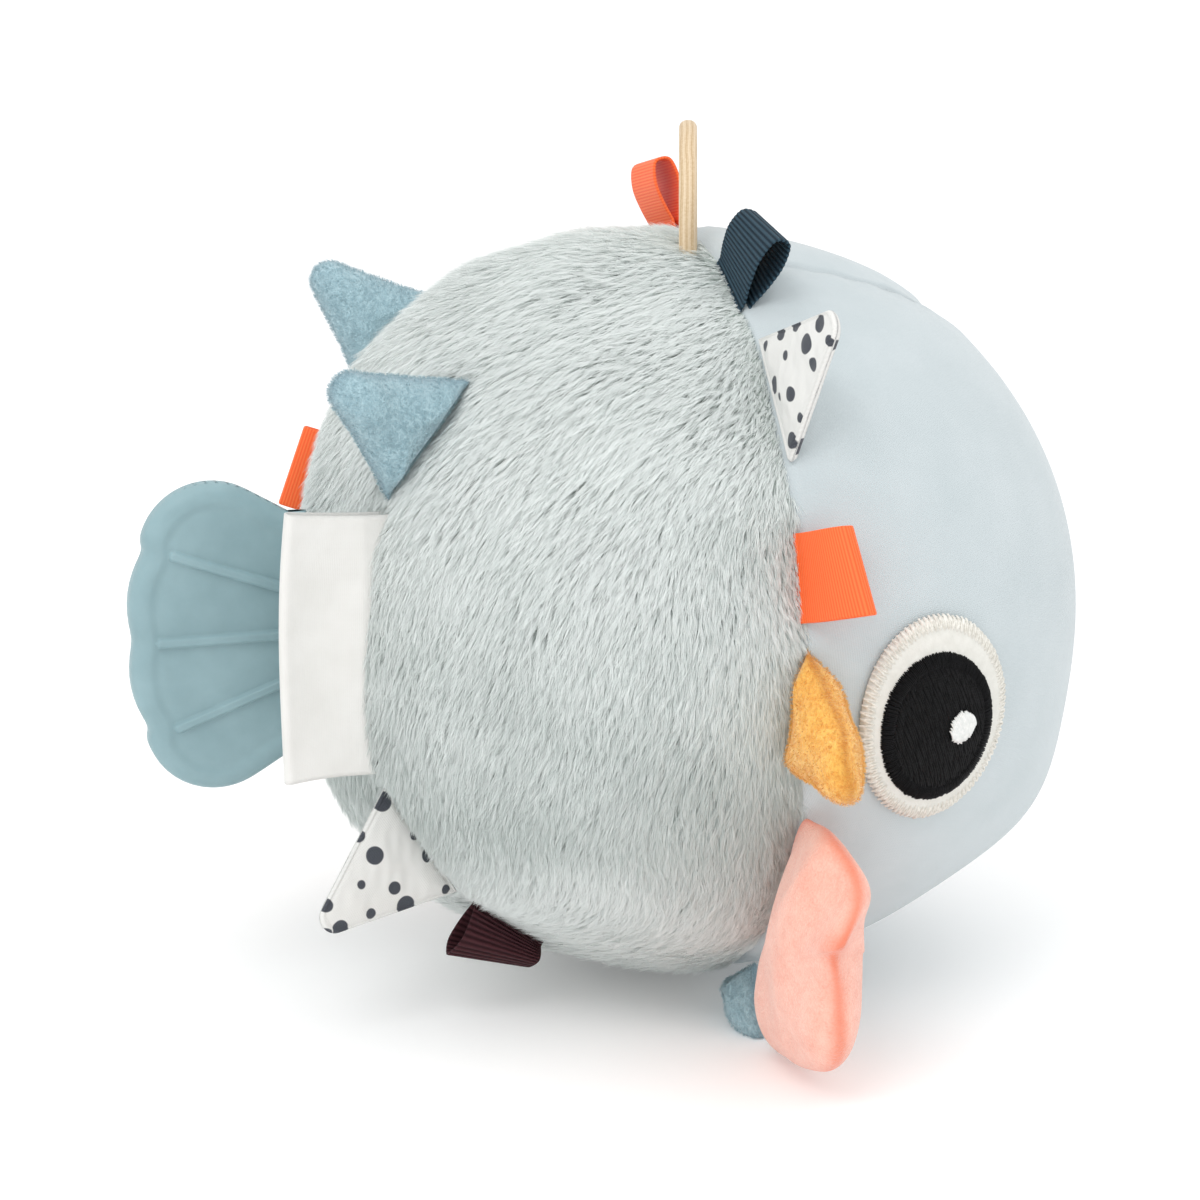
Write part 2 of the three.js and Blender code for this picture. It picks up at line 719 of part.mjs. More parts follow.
// A pointed outline that stands on a base, with a round tip. Its base is straight, or follows the seam.
function pointedOutline(base, length, tipRound, drop = 0) {
  const outline = new THREE.Shape();
  const slope = Math.atan2(base / 2 - tipRound, length - tipRound);
  const tip = length - tipRound;
  outline.moveTo(-base / 2, -drop);
  outline.quadraticCurveTo(0, drop, base / 2, -drop);
  outline.lineTo(tipRound * Math.cos(slope), tip + tipRound * Math.sin(slope));
  outline.absarc(0, tip, tipRound, slope, Math.PI - slope, false);
  return outline;
}

// A spike's tip may be shifted along the seam, which its foot follows as before
function spikeGeometry(base, length, thickness, tipShift = 0) {
  const shape = pointedOutline(base, length, spikeTipRound, seamDrop(base / 2));
  const outline = shape.getSpacedPoints(spikeRimPoints).slice(0, -1);
  for (const rim of outline) rim.x += tipShift * rim.y / length;
  const middleUp = length * spikeFullest;
  const middleOut = new THREE.Vector2(tipShift * middleUp / length, middleUp);
  return stuffed(outline, middleOut, thickness, spikeSharpness, spikeRings, spikeRoot);
}

function finGeometry(mirrored) {
  const foot = finLift - seamDrop(finRootHalfWidth);
  const knots = [...finOutlineKnots, [finRootHalfWidth, foot], [0, finLift], [-finRootHalfWidth, foot]];
  const curve = new THREE.SplineCurve([...knots, knots[0]].map(([u, w]) => new THREE.Vector2(u, w)));
  const outline = curve.getSpacedPoints(finRimPoints).slice(0, -1);
  const fullest = new THREE.Vector2(0, finFullest);
  const fin = stuffed(outline, fullest, finThickness, finSharpness, finRings, finRoot);
  if (!mirrored) return fin;
  const flipped = fin.getAttribute('position');
  for (let i = 0; i < flipped.count; i += 1) flipped.setX(i, -flipped.getX(i));
  fin.setIndex([...fin.index.array].reverse());
  return fin;
}

// A flat two-layer flap: a pocket of cloth open at its foot, with a sheet of crinkle film in it
function flapOutline(base, length, inset) {
  return pointedOutline(base - 2 * inset, length - inset, Math.max(flapTipRound - inset / 2, 1));
}

function uprightPlate(outline, thickness) {
  const plate = new THREE.ExtrudeGeometry(outline, {
    depth: thickness, bevelEnabled: false, curveSegments: flapCurveSteps,
  });
  return plate.translate(0, 0, -thickness / 2).rotateX(Math.PI / 2);
}

function flapCover(base, length) {
  const foot = flapThickness / 2;
  const cloth = uprightPlate(flapOutline(base, length - foot, 0), flapThickness);
  cloth.translate(0, 0, foot);
  const hem = new THREE.CylinderGeometry(foot, foot, base, hemSegments);
  hem.rotateZ(Math.PI / 2).translate(0, 0, foot);
  const pocket = uprightPlate(flapOutline(base, length - foot, flapHem), flapThickness - 2 * flapCloth);
  pocket.translate(0, 0, foot);
  const mouth = new THREE.BoxGeometry(base - 2 * flapHem, flapThickness - 2 * flapCloth, flapThickness);
  return cutFrom(joined(cloth, hem), joined(pocket, mouth));
}

function flapFilm(base, length) {
  const foot = flapThickness / 2;
  const inset = flapHem + seatGap * 2;
  return uprightPlate(flapOutline(base, length - foot, inset), filmThickness).translate(0, 0, foot + seatGap);
}

// The label: one strip folded in half, its ends in the seam and its fold outwards. Its foot follows the ball.
function labelGeometry(ballCentre) {
  const half = labelFold / 2;
  const foot = -seamDrop(labelHeight / 2) - labelFold;
  const outline = new THREE.Shape();
  outline.moveTo(-half, foot);
  outline.lineTo(-half, labelLength - half);
  outline.absarc(0, labelLength - half, half, Math.PI, 0, true);
  outline.lineTo(half, foot);
  outline.lineTo(half - labelCloth, foot);
  outline.lineTo(half - labelCloth, labelLength - half);
  outline.absarc(0, labelLength - half, half - labelCloth, 0, Math.PI, false);
  outline.lineTo(labelCloth - half, foot);
  const strip = new THREE.ExtrudeGeometry(outline, {
    depth: labelHeight, bevelEnabled: false, curveSegments: labelCurveSteps,
  });
  strip.translate(0, 0, -labelHeight / 2).applyMatrix4(acrossToUpright);
  const clear = seatRadius + half * coverSlope;
  const ball = new THREE.SphereGeometry(clear, labelFootSegments, labelFootSegments / 2);
  ball.rotateZ(Math.PI / 2).translate(...ballCentre);
  return cutFrom(strip, ball);
}

// Covers, cut flat where the ball stands and slit where the ring and the tail go in

const gussetShell = rearGusset();
const chinShell = wedgeCover(-1);
for (const shell of [gussetShell, chinShell]) shell.computeBoundingBox();
const lowest = Math.min(gussetShell.boundingBox.min.z, chinShell.boundingBox.min.z);
const floorLevel = lowest + bellyFlat;
const belly = floorBlock(floorLevel);

place('right_cheek_cover', cheekCover(rightSide), smoothFabric);
place('left_cheek_cover', cheekCover(leftSide), smoothFabric);
place('forehead_gusset', cutFrom(wedgeCover(1), ringSpace), smoothFabric);
place('chin_gusset', cutFrom(chinShell, belly), smoothFabric);
place('right_back_cover', backCover(rightSide), plush);
place('left_back_cover', backCover(leftSide), plush);
place('rear_gusset', cutFrom(gussetShell, belly, ringSpace, tailTab(pocketGap)), plush);

// Inside
place('front_filling', filling(front), fibre);
place('rear_filling', filling(back), fibre);
place('rattle_shell_right', rattleHalf(rightSide, true), rattlePlastic);
place('rattle_shell_left', rattleHalf(leftSide, false), rattlePlastic);
const bead = new THREE.SphereGeometry(rattleBallRadius, rattleBallSegments, rattleBallRings);
place('rattle_ball', bead, ballPlastic)
  .position.set(0, 0, rattleBallRadius + seatGap - rattleInnerRadius);

// Eyes
for (const [word, side] of [['right', rightSide], ['left', leftSide]]) {
  const patchBase = ballRadius + stackGap;
  const pupilBase = patchBase + eyePatchThickness + stackGap;
  const glintBase = pupilBase + pupilThickness + stackGap;
  place(`${word}_eye_patch`, spherePatch(
    side, eyeFaceAngle, eyeRollAngle, eyeTiltAngle, eyeHalfHeight, eyeHalfWidth,
    patchBase, eyePatchThickness, eyeRings, eyeSpokes), eyeCream);
  place(`${word}_pupil`, spherePatch(
    side, pupilFaceAngle, pupilRollAngle, pupilTiltAngle, pupilHalfHeight, pupilHalfWidth,
    pupilBase, pupilThickness, pupilRings, pupilSpokes), pupilBlack);
  place(`${word}_eye_glint`, spherePatch(
    side, glintFaceAngle, glintRollAngle, glintTiltAngle, glintHalfHeight, glintHalfWidth,
    glintBase, glintThickness, glintRings, glintSpokes), eyeCream);
}

// Ring and tail
const ring = place('wooden_ring', ringGeometry(0), wood);
ringPlace.decompose(ring.position, ring.quaternion, ring.scale);
const tail = place('tail_teether', tailGeometry(), silicone);
tailPlace.decompose(tail.position, tail.quaternion, tail.scale);
place('tail_tab', tailTab(0), silicone);

// Ribbons, in the round seam at a roll angle or in a rear gusset seam at a height angle
const ribbonFoot = ribbonLegGap + 2 * ribbonThickness;
const ribbonCloth = { orange: orangeRibbon, navy: navyRibbon, maroon: maroonRibbon };
for (const [name, ribbon] of Object.entries(ribbons)) {
  const side = ribbon.side === 'right' ? rightSide : leftSide;
  const inGussetSeam = ribbon.heightAngle !== undefined;
  const holder = inGussetSeam ? onGussetSeam(side, ribbon.heightAngle) : onRoundSeam(side, ribbon.rollAngle);
  const cloth = ribbonCloth[name.split('_')[1]];
  place(name, ribbonLoop(ribbon.height, ribbon.belly), cloth, leaning(holder, ribbon.leanAngle, ribbonFoot));
}

// Spikes: where they stand and how they lean across the seam
const backSpike = spikeGeometry(backSpikeBase, backSpikeLength, backSpikeThickness);
const mustardSpike = (side) =>
  spikeGeometry(mustardSpikeBase, mustardSpikeLength, mustardSpikeThickness, -side * mustardSpikeTipShift);
const bellySpike = (side) =>
  spikeGeometry(bellySpikeBase, bellySpikeLength, bellySpikeThickness, side * bellySpikeTipShift);
const bellyHolder = (side) => onRoundSeam(side, bellySpikeRollAngle);
const mustardHolder = (side) => onRoundSeam(side, mustardSpikeRollAngle);
const spikes = [
  ['right_back_spike', backSpike, bluePlush, onGussetSeam(rightSide, backSpikeHeightAngle), 0],
  ['left_back_spike', backSpike.clone(), bluePlush, onGussetSeam(leftSide, leftBackSpikeHeightAngle), 0],
  ['right_belly_spike', bellySpike(rightSide), bluePlush, bellyHolder(rightSide), bellySpikeLeanAngle],
  ['left_belly_spike', bellySpike(leftSide), bluePlush, bellyHolder(leftSide), bellySpikeLeanAngle],
  ['right_mustard_spike', mustardSpike(rightSide), mustardPlush, mustardHolder(rightSide), 0],
  ['left_mustard_spike', mustardSpike(leftSide), mustardPlush, mustardHolder(leftSide), 0],
];
for (const [name, shape, cloth, holder, lean] of spikes) {
  place(name, shape, cloth, leaning(holder, lean, spikeFoot));
}

// Fins
place('right_fin', finGeometry(false), coralPlush, onRoundSeam(rightSide, finRollAngle));
place('left_fin', finGeometry(true), coralPlush, onRoundSeam(leftSide, finRollAngle));

// Dotted flaps with their crinkle film
const flaps = [
  ['right', onRoundSeam(rightSide, flapRollAngle), flapLeanAngle, flapBase, flapLength],
  ['left', onRoundSeam(leftSide, leftFlapRollAngle), flapLeanAngle, flapBase, flapLength],
  ['rear', onGussetSeam(rightSide, rearFlapHeightAngle), 0, rearFlapBase, rearFlapLength],
];
for (const [word, holder, lean, base, length] of flaps) {
  const tipped = leaning(holder, lean, 0);
  place(`${word}_dotted_flap`, flapCover(base, length), dottedCotton, tipped);
  place(`${word}_flap_film`, flapFilm(base, length), film, tipped);
}

// Label
const labelHolder = leaning(onGussetSeam(rightSide, labelMiddleAngle), labelLeanAngle, labelFold);
const ballCentre = labelHolder.worldToLocal(new THREE.Vector3());
place('side_label', labelGeometry(ballCentre), labelWhite, labelHolder);

// The origin goes under the middle of the toy, on the surface it stands on
toy.updateMatrixWorld(true);
const bounds = new THREE.Box3().setFromObject(toy, true);
const middle = bounds.getCenter(new THREE.Vector3());
toy.position.set(-middle.x, -middle.y, -floorLevel);

export default toy;
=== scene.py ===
"""Activity ball: a stuffed fish with a smooth face, a plush back and things to grab in its seams."""

import math

import bpy
import numpy as np
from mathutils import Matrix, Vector, kdtree


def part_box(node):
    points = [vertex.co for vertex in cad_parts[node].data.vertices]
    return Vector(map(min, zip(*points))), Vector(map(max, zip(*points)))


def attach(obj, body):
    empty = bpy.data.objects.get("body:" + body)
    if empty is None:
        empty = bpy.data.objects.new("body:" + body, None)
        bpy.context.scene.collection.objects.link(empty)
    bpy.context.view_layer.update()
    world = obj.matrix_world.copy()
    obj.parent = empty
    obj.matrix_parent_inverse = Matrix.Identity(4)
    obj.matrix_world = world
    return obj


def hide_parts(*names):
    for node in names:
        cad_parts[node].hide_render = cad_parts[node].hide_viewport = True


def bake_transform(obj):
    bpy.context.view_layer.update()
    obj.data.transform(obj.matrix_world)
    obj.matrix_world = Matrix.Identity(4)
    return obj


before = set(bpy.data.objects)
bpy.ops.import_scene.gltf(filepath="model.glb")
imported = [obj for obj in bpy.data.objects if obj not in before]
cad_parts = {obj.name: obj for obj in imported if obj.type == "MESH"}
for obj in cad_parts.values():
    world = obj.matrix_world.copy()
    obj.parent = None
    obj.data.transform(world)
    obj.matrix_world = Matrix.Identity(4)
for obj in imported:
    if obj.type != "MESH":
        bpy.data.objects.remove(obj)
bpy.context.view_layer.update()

# Places and sizes: millimetres from the ball's centre, until a mesh is made
MM = 0.001
drum_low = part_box("rattle_shell_right")[0]
drum_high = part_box("rattle_shell_left")[1]
CENTRE = (np.array(drum_low) + np.array(drum_high)) / 2
FLOOR_LEVEL = -CENTRE[2] / MM
BALL_RADIUS = 70.0
SEAT_RADIUS = 68.35
SEAM_SLOPE = 0.4
GUSSET_HALF_WIDTH = 22.0
WEDGE_TIP_ANGLE = 47.0
WEDGE_ROUNDNESS = 4
CHEEK_COLUMNS = 72
WEDGE_COLUMNS = 40
BACK_COVER_COLUMNS = 90
REAR_GUSSET_COLUMNS = 50
FACE_SEAM_GAP = 0.25
FACE_TUCK = 1.2
COVER_LIP = 3.0
RIGHT, LEFT = -1, 1
FRONT, BACK = 1, -1
SIDES = {"right": RIGHT, "left": LEFT}

# Camera and studio
CAMERA_DISTANCE = 0.7
CAMERA_AZIMUTH = -17.0
CAMERA_ELEVATION = 14.0
FOCAL_PIXELS = 3832
PICTURE_PIXELS = 1200
BALL_CENTRE_PIXEL = 688
SENSOR_WIDTH = 36.0
FLOOR_RADIUS = 40.0
FLOOR_COLOUR = (0.95, 0.95, 0.95)
FLOOR_GLOW = 0.1
WORLD_STRENGTH = 0.97
LIGHTS = {
    "key": {"from": (-40, 48), "distance": 1.6, "power": 5.5, "size": 0.8},
    "top": {"from": (30, 78), "distance": 2.2, "power": 9.0, "size": 2.4},
}

# Plush: density in strands to a square millimetre, lengths in millimetres, angles in degrees from upright.
# Pull draws a clump's tips together. Parting is the share of its length that the pile loses beside something
# sewn in. Tint is between the pile's two colours; the height setting paints shade low down and floor light
# underneath, seam_shade paints shade beside the face. Skin_normal blends the shading of the strands with that
# of their skin.
LONG_PILE = {
    "density": 17.0, "length": 5.6, "width": 0.13, "arch": 0.1,
    "lean": 69, "lean_spread": 4, "turn_spread": 10, "clump": 0.5, "pull": 0.36, "parting": 0.6,
    "tint": 0.72, "fade": 0.7, "seam_shade": 0.4, "skin_normal": 2.6,
}
SHORT_PILE = {
    "density": 11.0, "length": 0.9, "width": 0.07, "arch": 0.12,
    "lean": 56, "lean_spread": 10, "turn_spread": 40, "clump": 0.5, "pull": 0.1, "parting": 0.0,
    "tint": 0.5, "fade": 0.0, "seam_shade": 0.0, "skin_normal": 6.0,
}
PARTING_REACH = 4.0
PLUSH_SKIN_RADIUS = 68.4
SKIN_CLEARANCE = 1.0
STRAND_CLEARANCE = 0.1
MOST_STRANDS = 62000
STRAND_LENGTHS = (0.72, 1.08)
STRAND_TWIST = 22
LEANS = (3, 80)
STRAY = 0.4
# Painted floor light on the pile underneath: where it starts below the middle, over what share of the radius
# it grows, and how strong it is
PAINTED_FLOOR_LIGHT = {"from": 0.36, "over": 0.36, "tint": 1.6}
SEAM_SHADE_REACH = 5
PLUSH_LIGHT_THROUGH = 0.42
SHORT_LIGHT_THROUGH = 0.5

# Colours, linear values worked out from the sRGB numbers that a colour picker shows


def srgb(red, green, blue, alpha=1.0):
    def linear(value):
        share = value / 255
        return share / 12.92 if share <= 0.04045 else ((share + 0.055) / 1.055) ** 2.4

    return (linear(red), linear(green), linear(blue), alpha)


# Meshes

WAVE_COUNT = 7


def add_mesh(name, points, face_sets, uv=None):
    """Points in millimetres from the ball's centre; each array in face_sets holds faces of one size."""
    mesh = bpy.data.meshes.new(name)
    corners = np.concatenate([np.asarray(faces, np.int32).ravel() for faces in face_sets])
    sizes = np.concatenate([np.full(len(faces), np.asarray(faces).shape[1]) for faces in face_sets])
    starts = np.concatenate([[0], np.cumsum(sizes)[:-1]]).astype(np.int32)
    world = CENTRE + np.asarray(points, float) * MM
    mesh.vertices.add(len(world))
    mesh.vertices.foreach_set("co", world.astype(np.float32).ravel())
    mesh.loops.add(len(corners))
    mesh.loops.foreach_set("vertex_index", corners)
    mesh.polygons.add(len(sizes))
    mesh.polygons.foreach_set("loop_start", starts)
    mesh.polygons.foreach_set("use_smooth", np.full(len(sizes), True))
    if uv is not None:
        layer = mesh.uv_layers.new(name="cloth")
        layer.uv.foreach_set("vector", np.asarray(uv, np.float32)[corners].ravel())
    mesh.update(calc_edges=True)
    made = bpy.data.objects.new(name, mesh)
    bpy.context.scene.collection.objects.link(made)
    return made


def finish_piece(made, material, body, nodes=()):
    made.data.materials.append(material)
    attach(made, body)
    if nodes:
        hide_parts(*nodes)
    return made


def grid_quads(rows, columns, wraps=False, first=0):
    across = columns if wraps else columns - 1
    i, j = np.meshgrid(np.arange(rows - 1), np.arange(across), indexing="ij")
    i, j = i.ravel(), j.ravel()
    following = (j + 1) % columns
    corners = np.stack([i * columns + j, i * columns + following,
                        (i + 1) * columns + following, (i + 1) * columns + j], axis=1)
    return corners + first


def triangles_of(face_sets):
    made = []
    for faces in face_sets:
        faces = np.asarray(faces)
        made.append(faces[:, :3])
        if faces.shape[1] == 4:
            made.append(faces[:, [0, 2, 3]])
    return np.concatenate(made)


def two_skins(rings, count):
    """Faces of two skins of rings joined at the last ring. Their two middle points follow all the rings."""
    j = np.arange(count)
    following = (j + 1) % count
    second = rings * count
    last = second - count
    rim = np.stack([last + j, last + following, second + last + following, second + last + j], axis=1)
    quads = [grid_quads(rings, count, wraps=True)[:, ::-1],
             grid_quads(rings, count, wraps=True, first=second), rim[:, ::-1]]
    fans = [np.stack([j, following, np.full(count, 2 * second)], axis=1),
            np.stack([second + following, second + j, np.full(count, 2 * second + 1)], axis=1)]
    return [np.concatenate(quads), np.concatenate(fans)]


def folded_strip(skins, across, along):
    """Joins the two skins of a strip into one closed sheet: points, faces and the UVs of the flat strip."""
    rows, columns = len(along), 2 * len(across)
    points = np.concatenate([skins[0], skins[1][:, ::-1]], axis=1).reshape(-1, 3)
    flat = np.stack(np.broadcast_arrays(across[None], along[:, None]), axis=2)
    uv = np.concatenate([flat, flat[:, ::-1]], axis=1).reshape(-1, 2)
    ends = [np.arange(columns)[None, ::-1], (rows - 1) * columns + np.arange(columns)[None]]
    return points, [grid_quads(rows, columns, wraps=True), *ends], uv


def unit(vectors):
    return vectors / np.maximum(np.linalg.norm(vectors, axis=-1, keepdims=True), 1e-12)


def lengths_along(line):
    """How far along a line each of its points lies."""
    return np.concatenate([[0], np.cumsum(np.linalg.norm(np.diff(line, axis=0), axis=1))])


def at_lengths(line, lengths, wanted):
    """Points of a flat line at the wanted distances along it."""
    return np.stack([np.interp(wanted, lengths, line[:, k]) for k in range(2)], axis=1)


def line_normals(line):
    tangent = unit(np.gradient(line, axis=0))
    return np.stack([-tangent[:, 1], tangent[:, 0]], axis=1)


def outward(points, faces):
    """Turns all faces round if they point into the piece or, on an open cover, into the ball."""
    a, b, c = (points[triangles_of(faces)[:, k]] for k in range(3))
    volume = (np.cross(b - a, c - a) * a).sum()
    return [part[:, ::-1] for part in faces] if volume < 0 else faces


def vertex_normals(points, triangles):
    a, b, c = (points[triangles[:, k]] for k in range(3))
    face = np.cross(b - a, c - a)
    total = np.zeros_like(points)
    for k in range(3):
        np.add.at(total, triangles[:, k], face)
    return unit(total)


def waves(points, size, seed):
    """Smooth noise, mostly between -1 and 1: a sum of sine waves of about this size in seeded directions."""
    rng = np.random.default_rng(seed)
    total = np.zeros(len(points))
    for _ in range(WAVE_COUNT):
        heading = unit(rng.normal(size=3))
        steepness = 2 * np.pi / (size * rng.uniform(0.7, 1.5))
        total += np.sin(points @ heading * steepness + rng.uniform(0, 2 * np.pi))
    return total / math.sqrt(WAVE_COUNT)


def catmull_rom(knots, steps, closed=False):
    knots = np.asarray(knots, float)
    if closed:
        knots = np.concatenate([knots[-1:], knots, knots[:2]])
    else:
        knots = np.concatenate([knots[:1], knots, knots[-1:]])
    spans = len(knots) - 3
    t = np.linspace(0, spans, steps, endpoint=not closed)
    index = np.minimum(t.astype(int), spans - 1)
    s = (t - index)[:, None]
    p0, p1, p2, p3 = (knots[index + k] for k in range(4))
    return 0.5 * (2 * p1 + (p2 - p0) * s + (2 * p0 - 5 * p1 + 4 * p2 - p3) * s**2
                  + (3 * p1 - p0 - 3 * p2 + p3) * s**3)


# Node materials


class Look:
    """A node material with short ways to add and join its nodes."""

    def __init__(self, name, roughness, **settings):
        self.material = bpy.data.materials.new(name)
        self.material.use_nodes = True
        self.tree = self.material.node_tree
        self.shader = self.tree.nodes["Principled BSDF"]
        self.shader.inputs["Roughness"].default_value = roughness
        for socket, value in settings.items():
            self.shader.inputs[socket.replace("_", " ")].default_value = value

    def add(self, kind, **settings):
        """Settings are the node's own, or its inputs' with _ for a space."""
        node = self.tree.nodes.new(kind)
        for key, value in settings.items():
            label = key.replace("_", " ")
            if label in node.inputs.keys():
                node.inputs[label].default_value = value
            else:
                setattr(node, key, value)
        return node

    def join(self, source, target):
        self.tree.links.new(source, target)
        return self

    def coordinates(self, kind="Object", scale=(1000, 1000, 1000)):
        """Object or UV coordinates, in millimetres."""
        source = self.add("ShaderNodeTexCoord")
        mapping = self.add("ShaderNodeMapping", Scale=scale)
        self.join(source.outputs[kind], mapping.inputs["Vector"])
        return mapping.outputs["Vector"]

    def noise(self, vector, size, detail=3.0, roughness=0.55, distortion=0.0):
        node = self.add("ShaderNodeTexNoise", Scale=1 / size, Detail=detail, Roughness=roughness,
                        Distortion=distortion)
        self.join(vector, node.inputs["Vector"])
        return node.outputs["Fac"]

    def wave(self, vector, size, direction, distortion=0.0):
        node = self.add("ShaderNodeTexWave", wave_type="BANDS", bands_direction=direction, Scale=0.314 / size,
                        Distortion=distortion, Detail=1.0, Detail_Scale=size / 4)
        self.join(vector, node.inputs["Vector"])
        return node.outputs["Fac"]

    def weave(self, cloth, warp, weft, distortion):
        warps = self.wave(cloth, warp, "X", distortion)
        return self.math("MULTIPLY", warps, self.wave(cloth, weft, "Y", distortion))

    def ramp(self, source, *stops):
        node = self.add("ShaderNodeValToRGB")
        elements = node.color_ramp.elements
        while len(elements) < len(stops):
            elements.new(0.5)
        for element, (position, colour) in zip(elements, stops):
            element.position = position
            element.color = colour
        self.join(source, node.inputs["Fac"])
        return node.outputs["Color"]

    def fill(self, sockets, values):
        """Each value may be a socket or a plain value."""
        for socket, value in zip(sockets, values):
            if isinstance(value, bpy.types.NodeSocket):
                self.join(value, socket)
            else:
                socket.default_value = value

    def mix(self, share, first, second):
        node = self.add("ShaderNodeMix", data_type="RGBA")
        self.fill((node.inputs["Factor"], node.inputs[6], node.inputs[7]), (share, first, second))
        return node.outputs[2]

    def math(self, operation, first, second=0.5):
        node = self.add("ShaderNodeMath", operation=operation)
        self.fill(node.inputs[:2], (first, second))
        return node.outputs[0]

    def colour(self, source):
        return self.join(source, self.shader.inputs["Base Color"])

    def bump(self, source, depth, strength=1.0):
        """Depth in millimetres."""
        node = self.add("ShaderNodeBump", Strength=strength, Distance=depth * MM)
        self.join(source, node.inputs["Height"])
        before = self.shader.inputs["Normal"].links
        if before:
            self.join(before[0].from_socket, node.inputs["Normal"])
        return self.join(node.outputs["Normal"], self.shader.inputs["Normal"])


def smooth_cloth():
    look = Look("smooth_cloth", 0.78, Sheen_Weight=0.25, Sheen_Roughness=0.5)
    cloth = look.coordinates("UV", (1, 1, 1))
    weave = look.weave(cloth, 0.42, 0.42, 0.5)
    place = look.coordinates()
    patches = look.noise(place, 14, 3)
    tone = look.ramp(patches, (0.3, srgb(188, 198, 201)), (0.7, srgb(195, 204, 207)))
    look.colour(look.mix(look.math("MULTIPLY", weave, 0.16), tone, srgb(176, 190, 194)))
    look.bump(weave, 0.05, 0.6)
    look.bump(look.noise(place, 2.2, 2), 0.12, 0.25)
    return look.material


def pile(name, root, low, high, light_through):
    """Fur strands: a root colour that is painted shade deep in the pile, with each strand's own tint between
    two colours.
    """
    look = Look(name, 0.62, Sheen_Weight=0.35, Sheen_Roughness=0.35)
    strand = look.add("ShaderNodeAttribute", attribute_name="strand")
    parts = look.add("ShaderNodeSeparateColor")
    look.join(strand.outputs["Color"], parts.inputs["Color"])
    tint = look.mix(parts.outputs["Red"], low, high)
    # Painted shade of the deep pile: the root colour near the root, the strand's own tint towards the tip
    colour = look.mix(parts.outputs["Green"], root, tint)
    look.colour(colour)
    through = look.add("ShaderNodeBsdfTranslucent")
    look.join(colour, through.inputs["Color"])
    both = look.add("ShaderNodeMixShader", Fac=light_through)
    look.join(look.shader.outputs["BSDF"], both.inputs[1])
    look.join(through.outputs["BSDF"], both.inputs[2])
    look.join(both.outputs["Shader"], look.tree.nodes["Material Output"].inputs["Surface"])
    return look.material


def mottled(name, roughness, tones, patches, ramp_from, grain, **settings):
    """Patches of two close tones, with a size and detail, under a grain with a depth and strength too."""
    look = Look(name, roughness, **settings)
    place = look.coordinates()
    look.colour(look.ramp(look.noise(place, *patches), (ramp_from, tones[0]), (0.7, tones[1])))
    size, detail, depth, strength = grain
    look.bump(look.noise(place, size, detail), depth, strength)
    return look.material


def backing(name, *tones):
    return mottled(name, 0.95, tones, (1.1, 3), 0.35, (0.5, 2, 0.3, 0.6))


def thread(name, *tones, roughness, shine):
    return mottled(name, roughness, tones, (0.7, 2), 0.35, (0.18, 2, 0.06, 0.6), Specular_IOR_Level=shine)


def felt(name, *tones, shine=0.4):
    return mottled(name, 0.9, tones, (1.6, 4), 0.3, (0.35, 3, 0.12, 0.7), Specular_IOR_Level=shine)


def plain_plastic(name, dark, light, roughness):
    return mottled(name, roughness, (dark, light), (8, 3), 0.3, (0.8, 3, 0.03, 0.4))


def velour(name, crease, dark, light):
    """Close-cropped pile: a fine grain, patches where the nap lies another way, and painted shade in the
    creases.
    """
    look = Look(name, 0.9, Sheen_Weight=0.5, Sheen_Roughness=0.5)
    place = look.coordinates()
    grain = look.noise(place, 0.4, 3, 0.6)
    nap = look.noise(place, 4.0, 3, 0.55, 0.6)
    both = look.math("ADD", look.math("MULTIPLY", grain, 0.55), look.math("MULTIPLY", nap, 0.45))
    tone = look.ramp(both, (0.36, dark), (0.62, light))
    # Painted shade along the sewn rim and at the foot, from the crease attribute
    wear_and_shade = look.add("ShaderNodeAttribute", attribute_name="crease")
    look.colour(look.mix(wear_and_shade.outputs["Fac"], tone, crease))
    look.bump(grain, 0.4, 0.8)
    look.bump(nap, 0.5, 0.3)
    return look.material


def ribbed_cloth(name, dark, light, rib, rib_depth, roughness, shine):
    look = Look(name, roughness, Specular_IOR_Level=shine)
    cloth = look.coordinates("UV", (1, 1, 1))
    ribs = look.wave(cloth, rib, "Y")
    threads = look.wave(cloth, 0.28, "X", 0.8)
    fibres = look.noise(cloth, 0.35, 2)
    tone = look.mix(look.ramp(ribs, (0.1, (0, 0, 0, 1)), (0.75, (1, 1, 1, 1))), dark, light)
    look.colour(look.mix(look.math("MULTIPLY", fibres, 0.3), tone, dark))
    look.bump(look.math("ADD", ribs, look.math("MULTIPLY", threads, 0.3)), rib_depth, 0.8)
    return look.material


def dotted_cotton():
    look = Look("dotted_cotton", 0.85, Sheen_Weight=0.15)
    cloth = look.coordinates("UV", (1, 1, 1))
    weave = look.weave(cloth, 0.36, 0.36, 0.4)
    dots = look.add("ShaderNodeTexVoronoi", feature="F1", voronoi_dimensions="2D", Scale=1 / 5.8,
                    Randomness=0.62)
    look.join(cloth, dots.inputs["Vector"])
    parts = look.add("ShaderNodeSeparateColor")
    look.join(dots.outputs["Color"], parts.inputs["Color"])
    reach = look.math("ADD", look.math("MULTIPLY", parts.outputs["Red"], 0.2), 0.13)
    inside = look.math("SUBTRACT", reach, dots.outputs["Distance"])
    edge = look.math("MULTIPLY", inside, 30.0)
    clipped = look.add("ShaderNodeClamp")
    look.join(edge, clipped.inputs["Value"])
    ink = look.mix(look.math("MULTIPLY", weave, 0.45), srgb(58, 62, 70), srgb(104, 108, 116))
    paper = look.mix(look.math("MULTIPLY", weave, 0.3), srgb(226, 226, 223), srgb(204, 203, 199))
    look.colour(look.mix(clipped.outputs["Result"], paper, ink))
    look.bump(weave, 0.08, 0.7)
    return look.material


